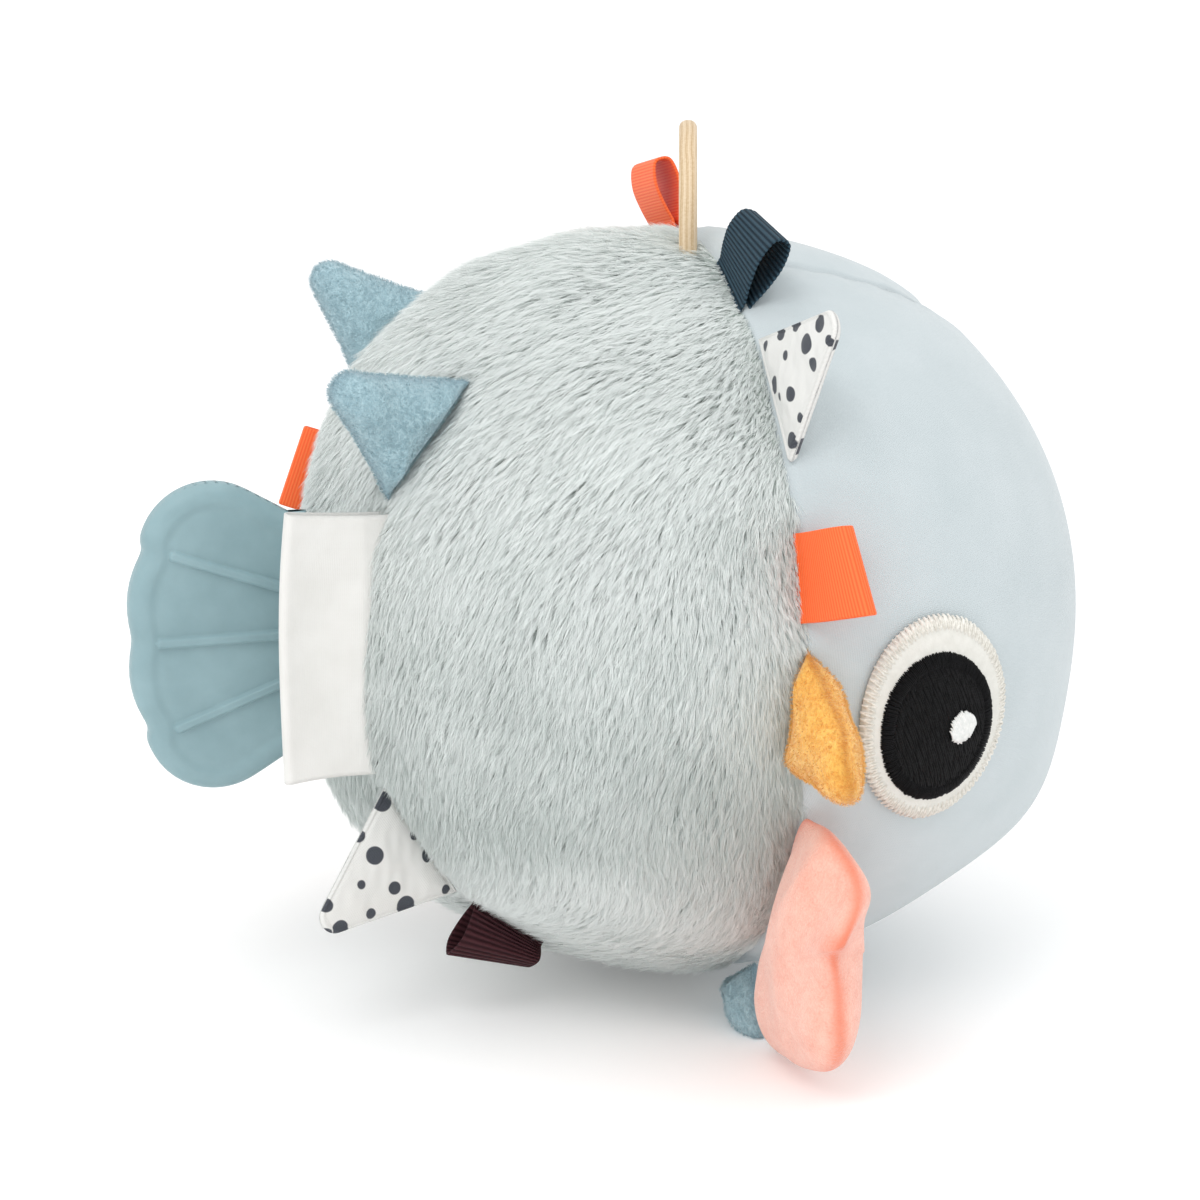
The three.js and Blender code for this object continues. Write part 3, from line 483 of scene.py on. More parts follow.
def label_satin():
    look = Look("label_satin", 0.55, Sheen_Weight=0.2)
    cloth = look.coordinates("UV", (1, 1, 1))
    weave = look.weave(cloth, 0.22, 0.3, 0.3)
    tone = look.ramp(look.noise(cloth, 9, 2), (0.3, srgb(221, 220, 216)), (0.75, srgb(230, 229, 226)))
    look.colour(look.mix(look.math("MULTIPLY", weave, 0.2), tone, srgb(206, 204, 199)))
    look.bump(weave, 0.04, 0.6)
    look.bump(look.noise(cloth, 7, 2), 0.3, 0.3)
    return look.material


def wood(axis):
    """Pale wood: long grain lines that follow planes square to the ring's axis."""
    look = Look("pale_wood", 0.5)
    place = look.coordinates()
    across = look.add("ShaderNodeVectorMath", operation="DOT_PRODUCT")
    across.inputs[1].default_value = axis
    look.join(place, across.inputs[0])
    wander = look.noise(place, 14, 2)
    layers = look.math("ADD", across.outputs["Value"], look.math("MULTIPLY", wander, 0.9))
    lines = look.math("SINE", look.math("MULTIPLY", layers, 6.5))
    fine = look.math("SINE", look.math("MULTIPLY", layers, 19.0))
    both = look.math("ADD", look.math("MULTIPLY", lines, 0.3), look.math("MULTIPLY", fine, 0.16))
    grain = look.math("ADD", both, look.noise(place, 0.4, 4))
    tones = (0.1, srgb(192, 164, 126)), (0.5, srgb(211, 187, 152)), (0.9, srgb(222, 202, 172))
    look.colour(look.ramp(grain, *tones))
    look.bump(grain, 0.06, 0.5)
    return look.material


def silicone():
    look = Look("silicone", 0.46, Subsurface_Weight=0.12, Specular_IOR_Level=0.42)
    look.shader.inputs["Subsurface Radius"].default_value = (0.6, 0.9, 1.0)
    look.shader.inputs["Subsurface Scale"].default_value = 2 * MM
    place = look.coordinates()
    dust = look.noise(place, 6, 3)
    look.colour(look.ramp(dust, (0.3, srgb(134, 162, 168)), (0.7, srgb(144, 172, 178))))
    wear_and_shade = look.ramp(look.noise(place, 1.5, 3), (0.3, (0.42,) * 3 + (1,)), (0.7, (0.54,) * 3 + (1,)))
    look.join(wear_and_shade, look.shader.inputs["Roughness"])
    look.bump(look.noise(place, 0.4, 2), 0.02, 0.5)
    return look.material


def crinkle_film():
    look = Look("crinkle_film", 0.25)
    place = look.coordinates()
    creases = look.noise(place, 3.5, 4, 0.6, 0.8)
    look.colour(look.ramp(creases, (0.35, srgb(214, 220, 226)), (0.7, srgb(238, 241, 244))))
    look.bump(creases, 0.8, 0.9)
    return look.material


# Seams and covers of the ball


def on_ball(x, y, z):
    return unit(np.stack(np.broadcast_arrays(x, y, z), axis=-1))


def gusset_seam(end, side, half_width, height):
    """A point of a seam that runs lengthwise from the top over the front or back, at a height in degrees."""
    y = side * half_width
    section = np.sqrt(BALL_RADIUS**2 - y**2)
    turn = np.radians(height)
    return on_ball(end * section * np.cos(turn), y, section * np.sin(turn))


def round_seam(end, side, roll):
    """The seam between face and plush. The face cloth runs on under the plush, so that no gap shows."""
    turn = np.radians(roll)
    forward = -FACE_TUCK if end == FRONT else -FACE_SEAM_GAP / 2
    return on_ball(forward, side * BALL_RADIUS * np.sin(turn), BALL_RADIUS * np.cos(turn))


def across_panel(edge_a, edge_b, columns):
    """Directions from one edge to the other along great circles: rows by columns by 3."""
    share = np.linspace(0, 1, columns)[None, :, None]
    angle = np.arccos(np.clip((edge_a * edge_b).sum(1), -1, 1))[:, None, None]
    safe = np.maximum(np.sin(angle), 1e-9)
    return (edge_a[:, None] * np.sin((1 - share) * angle) + edge_b[:, None] * np.sin(share * angle)) / safe


def distance_to(directions, rim):
    """How far each direction is from a rim, in millimetres over the ball."""
    nearest = np.full(len(directions), -1.0)
    for start in range(0, len(rim), 64):
        nearest = np.maximum(nearest, (directions @ rim[start:start + 64].T).max(1))
    return np.arccos(np.clip(nearest, -1, 1)) * BALL_RADIUS


def rim_loop(rows, columns):
    top = np.arange(columns)
    right = np.arange(1, rows) * columns + columns - 1
    bottom = (rows - 1) * columns + np.arange(columns - 2, -1, -1)
    left = np.arange(rows - 2, 0, -1) * columns
    return np.concatenate([top, right, bottom, left])


def panel(edge_a, edge_b, columns, radius_at):
    """A cover between two edges, its rim turned in by a lip: points, faces, UVs and the size of the skin."""
    directions = across_panel(edge_a, edge_b, columns)
    rows = len(directions)
    flat = directions.reshape(-1, 3)
    rim = rim_loop(rows, columns)
    away = distance_to(flat, flat[rim])
    radius = radius_at(flat, away)
    points = flat * radius[:, None]
    steps = np.linalg.norm(np.diff(points.reshape(rows, columns, 3), axis=1), axis=2)
    u = np.concatenate([np.zeros((rows, 1)), np.cumsum(steps, axis=1)], axis=1)
    u -= u.mean(1, keepdims=True)
    middle = points.reshape(rows, columns, 3)[:, columns // 2]
    uv = np.stack([u.ravel(), np.repeat(lengths_along(middle), columns)], axis=1)
    turned = points[rim] - flat[rim] * COVER_LIP
    following = np.roll(np.arange(len(rim)), -1)
    first = len(points)
    lip_faces = np.stack([rim, rim[following], first + following, first + np.arange(len(rim))], axis=1)
    faces = [np.concatenate([grid_quads(rows, columns), lip_faces])]
    return np.concatenate([points, turned]), faces, np.concatenate([uv, uv[rim]]), len(points)


def wedge_half_width(height):
    share = np.clip((90 - np.abs(height)) / (90 - WEDGE_TIP_ANGLE), 0, 1)
    return GUSSET_HALF_WIDTH * (1 - share**WEDGE_ROUNDNESS)


# The ball's swellings: a direction, a height in millimetres and a width in degrees
SWELLINGS = [
    ((-0.68, 0.36, 0.64), 4.0, 28),
    ((-0.91, 0.22, -0.35), 3.3, 24),
    ((-0.07, -0.23, -0.97), -3.6, 30),
    ((0.27, 0.16, 0.95), -3.0, 18),
    ((-0.14, 0.31, 0.94), -1.8, 16),
    ((0.82, 0.0, -0.57), 1.8, 35),
    ((0.79, -0.37, -0.49), 2.4, 12),
    ((0.79, 0.37, -0.49), 2.4, 12),
    ((0.5, -0.36, -0.79), -1.6, 18),
    ((0.5, 0.36, -0.79), -1.6, 18),
]


def swelling(directions):
    """Where the filling pushes the ball out of round, in millimetres."""
    total = np.zeros(len(directions))
    for towards, height, width in SWELLINGS:
        angle = np.degrees(np.arccos(np.clip(directions @ unit(np.array(towards)), -1, 1)))
        total += height * np.exp(-((angle / width) ** 2))
    return total


def above_floor(directions, radius, clearance):
    """A radius held back where it would come closer to the floor than the clearance."""
    down = directions[:, 2]
    lowest = np.where(down < -0.5, (FLOOR_LEVEL + clearance) / np.minimum(down, -0.5), np.inf)
    return np.minimum(radius, lowest)


def smooth_radius(directions, away):
    """The face is taut: it swells from its seams, with faint puckers beside them."""
    near = np.clip(1 - away / 9, 0, 1)
    crease = np.clip(1 - away / 1.3, 0, 1)
    points = directions * BALL_RADIUS
    puckers = 0.22 * waves(points, 7, 5) * np.clip(1 - away / 14, 0, 1) * (1 - crease)
    lumps = 0.3 * waves(points, 60, 3)
    return BALL_RADIUS - 1.1 * near**2 - 1.0 * crease**2 + puckers + lumps + swelling(directions)


def skin_radius(directions, away):
    near = np.clip(1 - away / 10, 0, 1)
    lumps = 0.5 * waves(directions * BALL_RADIUS, 45, 11)
    radius = PLUSH_SKIN_RADIUS - 0.3 * near**2 + lumps + swelling(directions)
    return above_floor(directions, radius, SKIN_CLEARANCE)


SEAM_HEIGHTS = np.linspace(89.6, -89.6, 150)
SEAM_ROLLS = np.linspace(18.6, 161.4, 150)
WEDGE_END = 90 + math.degrees(FACE_TUCK / BALL_RADIUS)
WEDGE_HEIGHTS = WEDGE_TIP_ANGLE + (WEDGE_END - WEDGE_TIP_ANGLE) * np.linspace(1, 0, 40) ** 1.8
CHEEK_HEIGHTS = np.concatenate([WEDGE_HEIGHTS, np.linspace(WEDGE_TIP_ANGLE, -WEDGE_TIP_ANGLE, 72)[1:-1],
                                -WEDGE_HEIGHTS[::-1]])


def face_cloth(name, node, edge_a, edge_b, columns):
    points, faces, uv, _ = panel(edge_a, edge_b, columns, smooth_radius)
    made = add_mesh(name, points, outward(points, faces), uv)
    finish_piece(made, SMOOTH_CLOTH, "ball", [node])


def cheek(word, side):
    rolls = np.linspace(18.4, 161.6, len(CHEEK_HEIGHTS))
    half = wedge_half_width(CHEEK_HEIGHTS) + FACE_SEAM_GAP / 2
    edges = round_seam(FRONT, side, rolls), gusset_seam(FRONT, side, half, CHEEK_HEIGHTS)
    face_cloth(f"{word}_cheek_cloth", f"{word}_cheek_cover", *edges, CHEEK_COLUMNS)


def wedge(name, node, up_down):
    heights = WEDGE_HEIGHTS[:-1]
    half = wedge_half_width(heights) - FACE_SEAM_GAP / 2
    edges = [gusset_seam(FRONT, side, half, up_down * heights) for side in (RIGHT, LEFT)]
    face_cloth(name, node, *edges, WEDGE_COLUMNS)


def plush_cover(name, node, edge_a, edge_b, columns, seed):
    points, faces, uv, shown = panel(edge_a, edge_b, columns, skin_radius)
    faces = outward(points, faces)
    made = add_mesh(f"{name}_backing", points, faces, uv)
    finish_piece(made, PLUSH_BACKING, "ball", [node])
    triangles = triangles_of(faces)
    triangles = triangles[(triangles < shown).all(1)]
    for tufts in fur(f"{name}_pile", points, triangles, LONG_PILE, plush_flow, seed):
        finish_piece(tufts, PLUSH_PILE, "ball")


# Fur


def scatter(points, triangles, density, rng):
    """Strand roots spread over a skin, the skin's normal at each, and the skin's area."""
    normals = vertex_normals(points, triangles)
    a, b, c = (points[triangles[:, k]] for k in range(3))
    areas = np.linalg.norm(np.cross(b - a, c - a), axis=1) / 2
    count = int(areas.sum() * density)
    pick = np.searchsorted(np.cumsum(areas), rng.uniform(0, areas.sum(), count))
    pick = np.minimum(pick, len(areas) - 1)
    s, t = np.sqrt(rng.uniform(size=count)), rng.uniform(size=count)
    weights = np.stack([1 - s, s * (1 - t), s * t], axis=1)[:, :, None]
    root = (points[triangles[pick]] * weights).sum(1)
    return root, unit((normals[triangles[pick]] * weights).sum(1)), areas.sum()


def gather(root, wanted, rng):
    """The strands that lead a clump, and the clump of each strand."""
    leaders = rng.choice(len(root), min(max(1, wanted), len(root)), replace=False)
    tree = kdtree.KDTree(len(leaders))
    for index, place in enumerate(root[leaders]):
        tree.insert(place, index)
    tree.balance()
    return leaders, np.fromiter((tree.find(place)[1] for place in root), int, len(root))


def combed(flow, normal, degrees):
    """The flow laid flat on the skin and turned."""
    heading = unit(flow - normal * (flow * normal).sum(1, keepdims=True))
    turn = np.radians(degrees)[:, None]
    return heading * np.cos(turn) + np.cross(normal, heading) * np.sin(turn)


def shaded(tint, root, kind):
    """Painted light and shade: the pile is darker low down and beside the face, where shade falls, and
    lighter underneath, where the floor lights it.
    """
    height = root[:, 2] / BALL_RADIUS
    floor_light = np.clip((-height - PAINTED_FLOOR_LIGHT["from"]) / PAINTED_FLOOR_LIGHT["over"], 0, 1)
    # Painted shade low down and painted floor light underneath
    tint = tint + kind["fade"] * (height + PAINTED_FLOOR_LIGHT["tint"] * floor_light)
    # Painted shade beside the face
    return np.clip(tint - kind["seam_shade"] * np.exp(np.minimum(root[:, 0], 0) / SEAM_SHADE_REACH), 0, 1)


def fur(name, points, triangles, kind, flow, seed):
    """Mesh strands over a skin. Each is a bent blade; clumps share a direction and draw their tips in."""
    rng = np.random.default_rng(seed)
    root, normal, area = scatter(points, triangles, kind["density"], rng)
    count = len(root)
    leaders, clump = gather(root, int(area / kind["clump"] ** 2), rng)
    spreads = kind["turn_spread"], kind["lean_spread"], 1
    clump_turn, clump_lean, clump_tint = (rng.normal(0, spread, len(leaders))[clump] for spread in spreads)

    heading = combed(flow(root), normal, clump_turn + rng.normal(0, kind["turn_spread"] * STRAY, count))
    lean = kind["lean"] + clump_lean + 7 * waves(root, 22, seed + 1)
    lean = np.radians(np.clip(lean + rng.normal(0, kind["lean_spread"] * STRAY, count), *LEANS))[:, None]
    length = kind["length"] * rng.uniform(*STRAND_LENGTHS, count)
    length = (length * (1 - kind["parting"] * beside_sewn(root)))[:, None]
    tip = root + length * (normal * np.cos(lean) + heading * np.sin(lean))
    tip += kind["pull"] * (tip[leaders][clump] - tip) * rng.uniform(0.6, 1.0, (count, 1))
    along = unit(tip - root)
    bend = root + 0.5 * (tip - root) + normal * length * kind["arch"]
    wide = unit(np.cross(along, normal))
    twist = np.radians(rng.normal(0, STRAND_TWIST, count))[:, None]
    wide = wide * np.cos(twist) + np.cross(along, wide) * np.sin(twist)
    edge = wide * (kind["width"] / 2)
    corners = np.stack([root - edge, root + edge, bend - edge * 0.85, bend + edge * 0.85, tip], axis=1)
    corners[:, :, 2] = np.maximum(corners[:, :, 2], FLOOR_LEVEL + STRAND_CLEARANCE)

    tint = kind["tint"] + 0.13 * clump_tint + 0.12 * rng.normal(0, 1, count) + 0.1 * waves(root, 26, seed + 2)
    # Painted light and shade by place on the ball
    tint = shaded(tint, root, kind)
    facing = unit(np.cross(wide, along) + normal * kind["skin_normal"])
    groups = np.array_split(np.argsort(root[:, 2], kind="stable"), math.ceil(count / MOST_STRANDS))
    names = [name] if len(groups) == 1 else [f"{name}_{index + 1}" for index in range(len(groups))]
    return [strands(label, corners[group], tint[group], facing[group]) for label, group in zip(names, groups)]


def strands(name, corners, tint, facing):
    """One mesh of blades, with each point's tint and its place from root to tip for the material."""
    base = np.arange(len(corners))[:, None] * 5
    made = add_mesh(name, corners.reshape(-1, 3), [base + np.array([0, 1, 3, 2]), base + np.array([2, 3, 4])])
    colour = np.zeros((len(corners), 5, 4), np.float32)
    colour[:, :, 0] = tint[:, None]
    # Share of the strand's tint against the root's painted shade, from root to tip
    colour[:, :, 1] = [0.1, 0.1, 0.8, 0.8, 1.0]
    colour[:, :, 3] = 1
    attribute = made.data.attributes.new("strand", "FLOAT_COLOR", "POINT")
    attribute.data.foreach_set("color", colour.ravel())
    made.data.normals_split_custom_set_from_vertices(np.repeat(facing, 5, axis=0))
    return made


def beside_sewn(points):
    """1 at the foot of something sewn into a seam, falling to 0 some millimetres away."""
    away = np.full(len(points), PARTING_REACH * 9)
    for (matrix, origin), half in SEWN:
        offset = points - origin
        along = np.clip(offset @ matrix[:, 0], -half, half)[:, None] * matrix[:, 0]
        away = np.minimum(away, np.linalg.norm(offset - along, axis=1))
    return np.exp(-((away / PARTING_REACH) ** 2))


def plush_flow(points):
    """The pile lies back over the top, down the sides and back underneath, turned here and there."""
    height = points[:, 2]
    top = np.clip((height - 20) / 50, 0, 1)
    bottom = np.clip((-height - 30) / 38, 0, 1)
    behind = np.clip(-points[:, 0] / 30, 0, 1)
    turn = 0.25 * waves(points, 55, 21) + 0.14 * waves(points, 24, 22)
    over_the_seam = 0.6 * np.exp(points[:, 0] / 3) * (1 - beside_sewn(points))
    back = over_the_seam - 1.2 * top - 1.2 * bottom - 0.3 * behind * (1 - top) + turn
    return np.stack([back, 0.3 * turn, -1 + 0.9 * bottom], axis=1)


# Things sewn into the seams. A seat is axes and an origin: X along the seam, Y across it, Z out of the ball.


def seat(point, along, lean=0.0, foot=0.0):
    out = unit(np.asarray(point, float))
    across = np.cross(out, along)
    turn = math.radians(lean)
    basis = np.stack([along, across, out], axis=1)
    tilt = np.array([[1, 0, 0], [0, math.cos(turn), math.sin(turn)], [0, -math.sin(turn), math.cos(turn)]])
    lift = foot / 2 * (abs(math.sin(turn)) + SEAM_SLOPE)
    return basis @ tilt, out * (SEAT_RADIUS + lift)


def in_round_seam(side, roll, lean=0.0, foot=0.0):
    turn = math.radians(roll)
    point = (0, side * math.sin(turn), math.cos(turn))
    along = np.array([0, side * math.cos(turn), -math.sin(turn)])
    return seat(point, along if side == RIGHT else -along, lean, foot)


def in_gusset_seam(side, height, lean=0.0, foot=0.0):
    turn = math.radians(height)
    along = np.array([math.sin(turn), 0, math.cos(turn)])
    return seat(gusset_seam(BACK, side, GUSSET_HALF_WIDTH, height), along, lean, foot)


def seated(place, points):
    matrix, origin = place
    return np.asarray(points) @ matrix.T + origin


def bend_zone(place, heights):
    """Points at these heights over a piece's seat, in the scene's metres."""
    matrix, origin = place
    return [Vector(CENTRE + (origin + matrix[:, 2] * height) * MM) for height in heights]


def seam_drop(away):
    return SEAT_RADIUS - np.sqrt(SEAT_RADIUS**2 - np.asarray(away, float) ** 2)


# Ribbons

RIBBON_WIDTH = 15.0
RIBBON_THICKNESS = 0.55
RIBBON_LEG_GAP = 0.8
RIBBON_FOOT = 2.2
RIBBON_ROOT = 3.5
RIBBON_RIBS = {"orange": (0.55, 0.02), "navy": (0.85, 0.16), "maroon": (0.85, 0.16)}


def ribbon_line(height, belly):
    half = belly / 2 - RIBBON_THICKNESS / 2
    leg = (RIBBON_LEG_GAP + RIBBON_THICKNESS) / 2
    up = [(-leg, 0), (-half * 0.75, height * 0.3), (-half, height * 0.62),
          (-half * 0.7, height - half * 0.45)]
    knots = up + [(0, height - RIBBON_THICKNESS / 2)] + [(-y, z) for y, z in reversed(up)]
    line = catmull_rom(knots, 400)
    root = np.array([[-leg, -RIBBON_ROOT]])
    return np.concatenate([root, line, root * [-1, 1]])


def ribbon(name, colour, place, height, belly, slant):
    """A folded ribbon; a slant makes one edge of its loop stand taller than the other."""
    rib, rib_depth = RIBBON_RIBS[colour]
    line = ribbon_line(height, belly)
    lengths = lengths_along(line)
    along = np.linspace(0, lengths[-1], int(lengths[-1] / rib * 6))
    middle = at_lengths(line, lengths, along)
    normal = line_normals(middle)
    across = np.concatenate([[-1, -0.985, -0.95], np.linspace(-0.9, 0.9, 9), [0.95, 0.985, 1]])
    thin = np.array([0.25, 0.8] + [1.0] * 11 + [0.8, 0.25])
    wobble = 0.12 * np.sin(along / lengths[-1] * 9)[:, None]
    ribs = rib_depth * np.abs(np.sin(np.pi * along / rib))[:, None]
    skins = []
    for sign in (1, -1):
        offset = sign * (RIBBON_THICKNESS / 2 + ribs - rib_depth) * thin[None, :]
        yz = middle[:, None, :] + normal[:, None, :] * offset[:, :, None]
        x = across[None, :] * (RIBBON_WIDTH / 2) + wobble
        yz[:, :, 1] *= 1 + slant * across[None, :]
        skins.append(np.concatenate([x[:, :, None], yz], axis=2))
    points, faces, uv = folded_strip(skins, across * RIBBON_WIDTH / 2, along)
    made = add_mesh(f"{name}_tape", seated(place, points), faces, uv)
    finish_piece(made, RIBBON_LOOKS[colour], "ball", [f"{name}_ribbon"])


# Stuffed spikes and fins. Their skins lie inside the solids, to leave room for the pile.

STUFFED_SHARPNESS = 0.52
PILE_INSET = 0.5


def pointed_outline(base, length, tip_round, drop, count):
    """Along the seam and out of it: a foot that follows the seam, and straight sides to a round tip."""
    slope = math.atan2(base / 2 - tip_round, length - tip_round)
    tip = length - tip_round
    foot_x = np.linspace(-base / 2, base / 2, 30)
    foot = np.stack([foot_x, -drop * (2 * foot_x / base) ** 2], axis=1)
    turn = np.linspace(slope, math.pi - slope, 24)
    arc = np.stack([tip_round * np.cos(turn), tip + tip_round * np.sin(turn)], axis=1)
    outline = np.concatenate([foot, arc])
    return even(outline, count)


def even(outline, count):
    """Points at even steps round a closed outline."""
    ring = np.concatenate([outline, outline[:1]])
    lengths = lengths_along(ring)
    return at_lengths(ring, lengths, np.linspace(0, lengths[-1], count, endpoint=False))


def stuffed(outline, middle, thickness, rings, root_height):
    """Two skins sewn round an outline, full in the middle: points, faces and the share of painted crease
    shade at each point.
    """
    middle = np.asarray(middle, float)
    size = np.abs(outline - middle).max()
    half_thickness = thickness / 2 - PILE_INSET
    shrunk = middle + (outline - middle) * (1 - PILE_INSET / size)
    count = len(outline)
    share = np.sin(np.pi / 2 * np.arange(1, rings + 1) / rings)
    flat = middle + (shrunk[None] - middle) * share[:, None, None]
    half = half_thickness * np.maximum(1 - share**2, 0)[:, None] ** STUFFED_SHARPNESS
    half = half * np.sqrt(np.clip(flat[:, :, 1] / root_height, 0.1, 1))
    skins = [np.stack([flat[:, :, 0], sign * half, flat[:, :, 1]], axis=2).reshape(-1, 3) for sign in (1, -1)]
    tops = np.array([[middle[0], sign * half_thickness, middle[1]] for sign in (1, -1)])
    points = np.concatenate([skins[0], skins[1][:-count], tops])
    ring_share = share.repeat(count)
    # Painted shade: darkest at the sewn rim and at the foot, where the piece meets the ball
    rim_crease_shade = np.concatenate([ring_share, ring_share[:-count], [0, 0]]) ** 50
    crease = np.clip(0.8 * rim_crease_shade + 0.8 * np.exp(-np.maximum(points[:, 2], 0) / 1.2), 0, 1)
    second = len(skins[0])
    front = grid_quads(rings, count, wraps=True)
    behind = grid_quads(rings, count, wraps=True, first=second)
    rim = second + (rings - 1) * count
    behind = np.where(behind >= rim, behind - rim + (rings - 1) * count, behind)[:, ::-1]
    j = np.arange(count)
    fans = [np.stack([j, (j + 1) % count, np.full(count, len(points) - 2)], axis=1)[:, ::-1],
            np.stack([second + j, second + (j + 1) % count, np.full(count, len(points) - 1)], axis=1)]
    return points, [np.concatenate([front, behind]), np.concatenate(fans)], crease


def plush_piece(name, body, place, stuffed_piece, colour, seed, blend=None):
    points, faces, crease = stuffed_piece
    faces = outward(points, faces)
    world = seated(place, points)
    made = add_mesh(f"{name}_backing", world, faces)
    # The share of painted crease shade, for the velour
    attribute = made.data.attributes.new("crease", "FLOAT", "POINT")
    attribute.data.foreach_set("value", crease.astype(np.float32))
    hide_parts(name)
    pieces = [(made, BACKINGS[colour])]
    if colour in PILES:
        skin = world, triangles_of(faces)
        tufts = fur(f"{name}_pile", *skin, SHORT_PILE, lambda spots: to_tip(spots, place), seed)
        pieces += [(tuft, PILES[colour]) for tuft in tufts]
    for piece, material in pieces:
        piece.data.materials.append(material)
        if blend:
            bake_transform(piece)
        else:
            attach(piece, body)


def to_tip(points, place):
    """Pile that lies out of the seam, towards the tip."""
    matrix, origin = place
    return np.broadcast_to(matrix[:, 2], points.shape) + 0.4 * unit(points - origin)


SPIKE_FOOT = 1.5
SPIKE_RINGS = 20
SPIKE_ROOT = 3.0
SPIKE_FULLEST = 0.36
BLUE_SPIKE = {"colour": "blue", "tip_round": 3.8, "hollow": 0.08, "lobe": 0.0}
BACK_SPIKE = {**BLUE_SPIKE, "base": 26.0, "length": 22.5, "thickness": 13.0, "shift": 0.0}
BELLY_SPIKE = {**BLUE_SPIKE, "base": 17.0, "length": 13.5, "thickness": 9.0, "shift": 9.0}
MUSTARD_SPIKE = {"colour": "mustard", "base": 22.0, "length": 23.0, "thickness": 11.0, "shift": -5.3,
                 "tip_round": 5.8, "hollow": 0.0, "lobe": 0.7}
SPIKES = {
    "right_back": {**BACK_SPIKE, "place": in_gusset_seam(RIGHT, 35, 0, SPIKE_FOOT)},
    "left_back": {**BACK_SPIKE, "place": in_gusset_seam(LEFT, 44, 0, SPIKE_FOOT)},
}
for kind, spec, roll, lean in (("belly", BELLY_SPIKE, 152, -8), ("mustard", MUSTARD_SPIKE, 92.5, 0)):
    for word, side in SIDES.items():
        place = in_round_seam(side, roll, lean, SPIKE_FOOT)
        SPIKES[f"{word}_{kind}"] = {**spec, "shift": side * spec["shift"], "place": place}


def bump_at(points, spot, radius):
    """1 at a spot of a stuffed piece's outline plane, falling to 0 beyond the radius."""
    return np.exp(-((points[:, 0] - spot[0]) ** 2 + (points[:, 2] - spot[1]) ** 2) / radius**2)


def spike(name, spec, seed):
    base, length, shift = spec["base"], spec["length"], spec["shift"]
    outline = pointed_outline(base, length, spec["tip_round"], seam_drop(base / 2), 110)
    rise = np.clip(outline[:, 1] / length, 0, 1)
    outline[:, 0] *= 1 - spec["hollow"] * np.sin(np.pi * rise)
    outline[:, 0] += shift * outline[:, 1] / length
    up = length * SPIKE_FULLEST
    piece = stuffed(outline, (shift * up / length, up), spec["thickness"], SPIKE_RINGS, SPIKE_ROOT)
    points = piece[0]
    points[:, 1] += 0.5 * waves(points, 13, seed)
    points[:, 1] -= spec["lobe"] * bump_at(points, (math.copysign(base * 0.38, shift), 3), 4.5)
    plush_piece(f"{name}_spike", "ball", spec["place"], piece, spec["colour"], seed)


FIN_ROLL = 124
FIN_ROOT_HALF_WIDTH = 17.0
FIN_LIFT = 0.6
FIN_THICKNESS = 15.0
FIN_RINGS = 30
FIN_ROOT = 11.0
FIN_FULLEST = (0.0, 15.0)
FIN_KNOTS = [(-22.5, 2.5), (-27.5, 11), (-26, 22), (-21.5, 27.5), (-17.5, 27), (-10.5, 30), (-2, 34.6),
             (6, 33.6), (17, 24.5), (25.5, 13.5), (23, 4)]
FIN_NOTCH = (-19.0, 27.0)
FIN_LOBE = (-24.0, 20.0)
FIN_BLEND = (0.5, 9.0)


def fin(word, side, seed):
    foot = FIN_LIFT - seam_drop(FIN_ROOT_HALF_WIDTH)
    knots = FIN_KNOTS + [(FIN_ROOT_HALF_WIDTH, foot), (0, FIN_LIFT), (-FIN_ROOT_HALF_WIDTH, foot)]
    outline = even(catmull_rom(knots, 300, closed=True), 180)
    points, faces, crease = stuffed(outline, FIN_FULLEST, FIN_THICKNESS, FIN_RINGS, FIN_ROOT)
    notch = bump_at(points, FIN_NOTCH, 6.0)
    points[:, 1] *= 1 - 0.35 * notch
    points[:, 1] += 2.6 * bump_at(points, FIN_LOBE, 7.5) - 3.0 * notch
    # Painted shade in the notch
    crease = np.clip(crease + 0.5 * notch**3, 0, 1)
    if side == LEFT:
        points[:, 0] *= -1
    points[:, 1] += 0.4 * waves(points, 16, seed)
    place = in_round_seam(side, FIN_ROLL)
    blend = bend_zone(place, FIN_BLEND)
    plush_piece(f"{word}_fin", f"{word}_fin_body", place, (points, faces, crease), "coral", seed, blend)


# Dotted flaps

FLAP_TIP_ROUND = 3.0
FLAP_LIFT = 0.28
FLAP_MIDDLE = 0.36
# Each layer's bulge at shares of the way to the rim, drawn in where the edge is stitched
FLAP_PUFF = [(0, 1.3), (0.5, 1.2), (0.86, 0.85), (0.925, 0.55), (0.965, 0.8), (1.0, 0.15)]
FLAPS = {
    "right": {"base": 24.6, "length": 24.8, "place": in_round_seam(RIGHT, 47.3, 10)},
    "left": {"base": 24.6, "length": 24.0, "place": in_round_seam(LEFT, 71, 10)},
    "rear": {"base": 24.0, "length": 24.0, "place": in_gusset_seam(RIGHT, -31.5)},
}


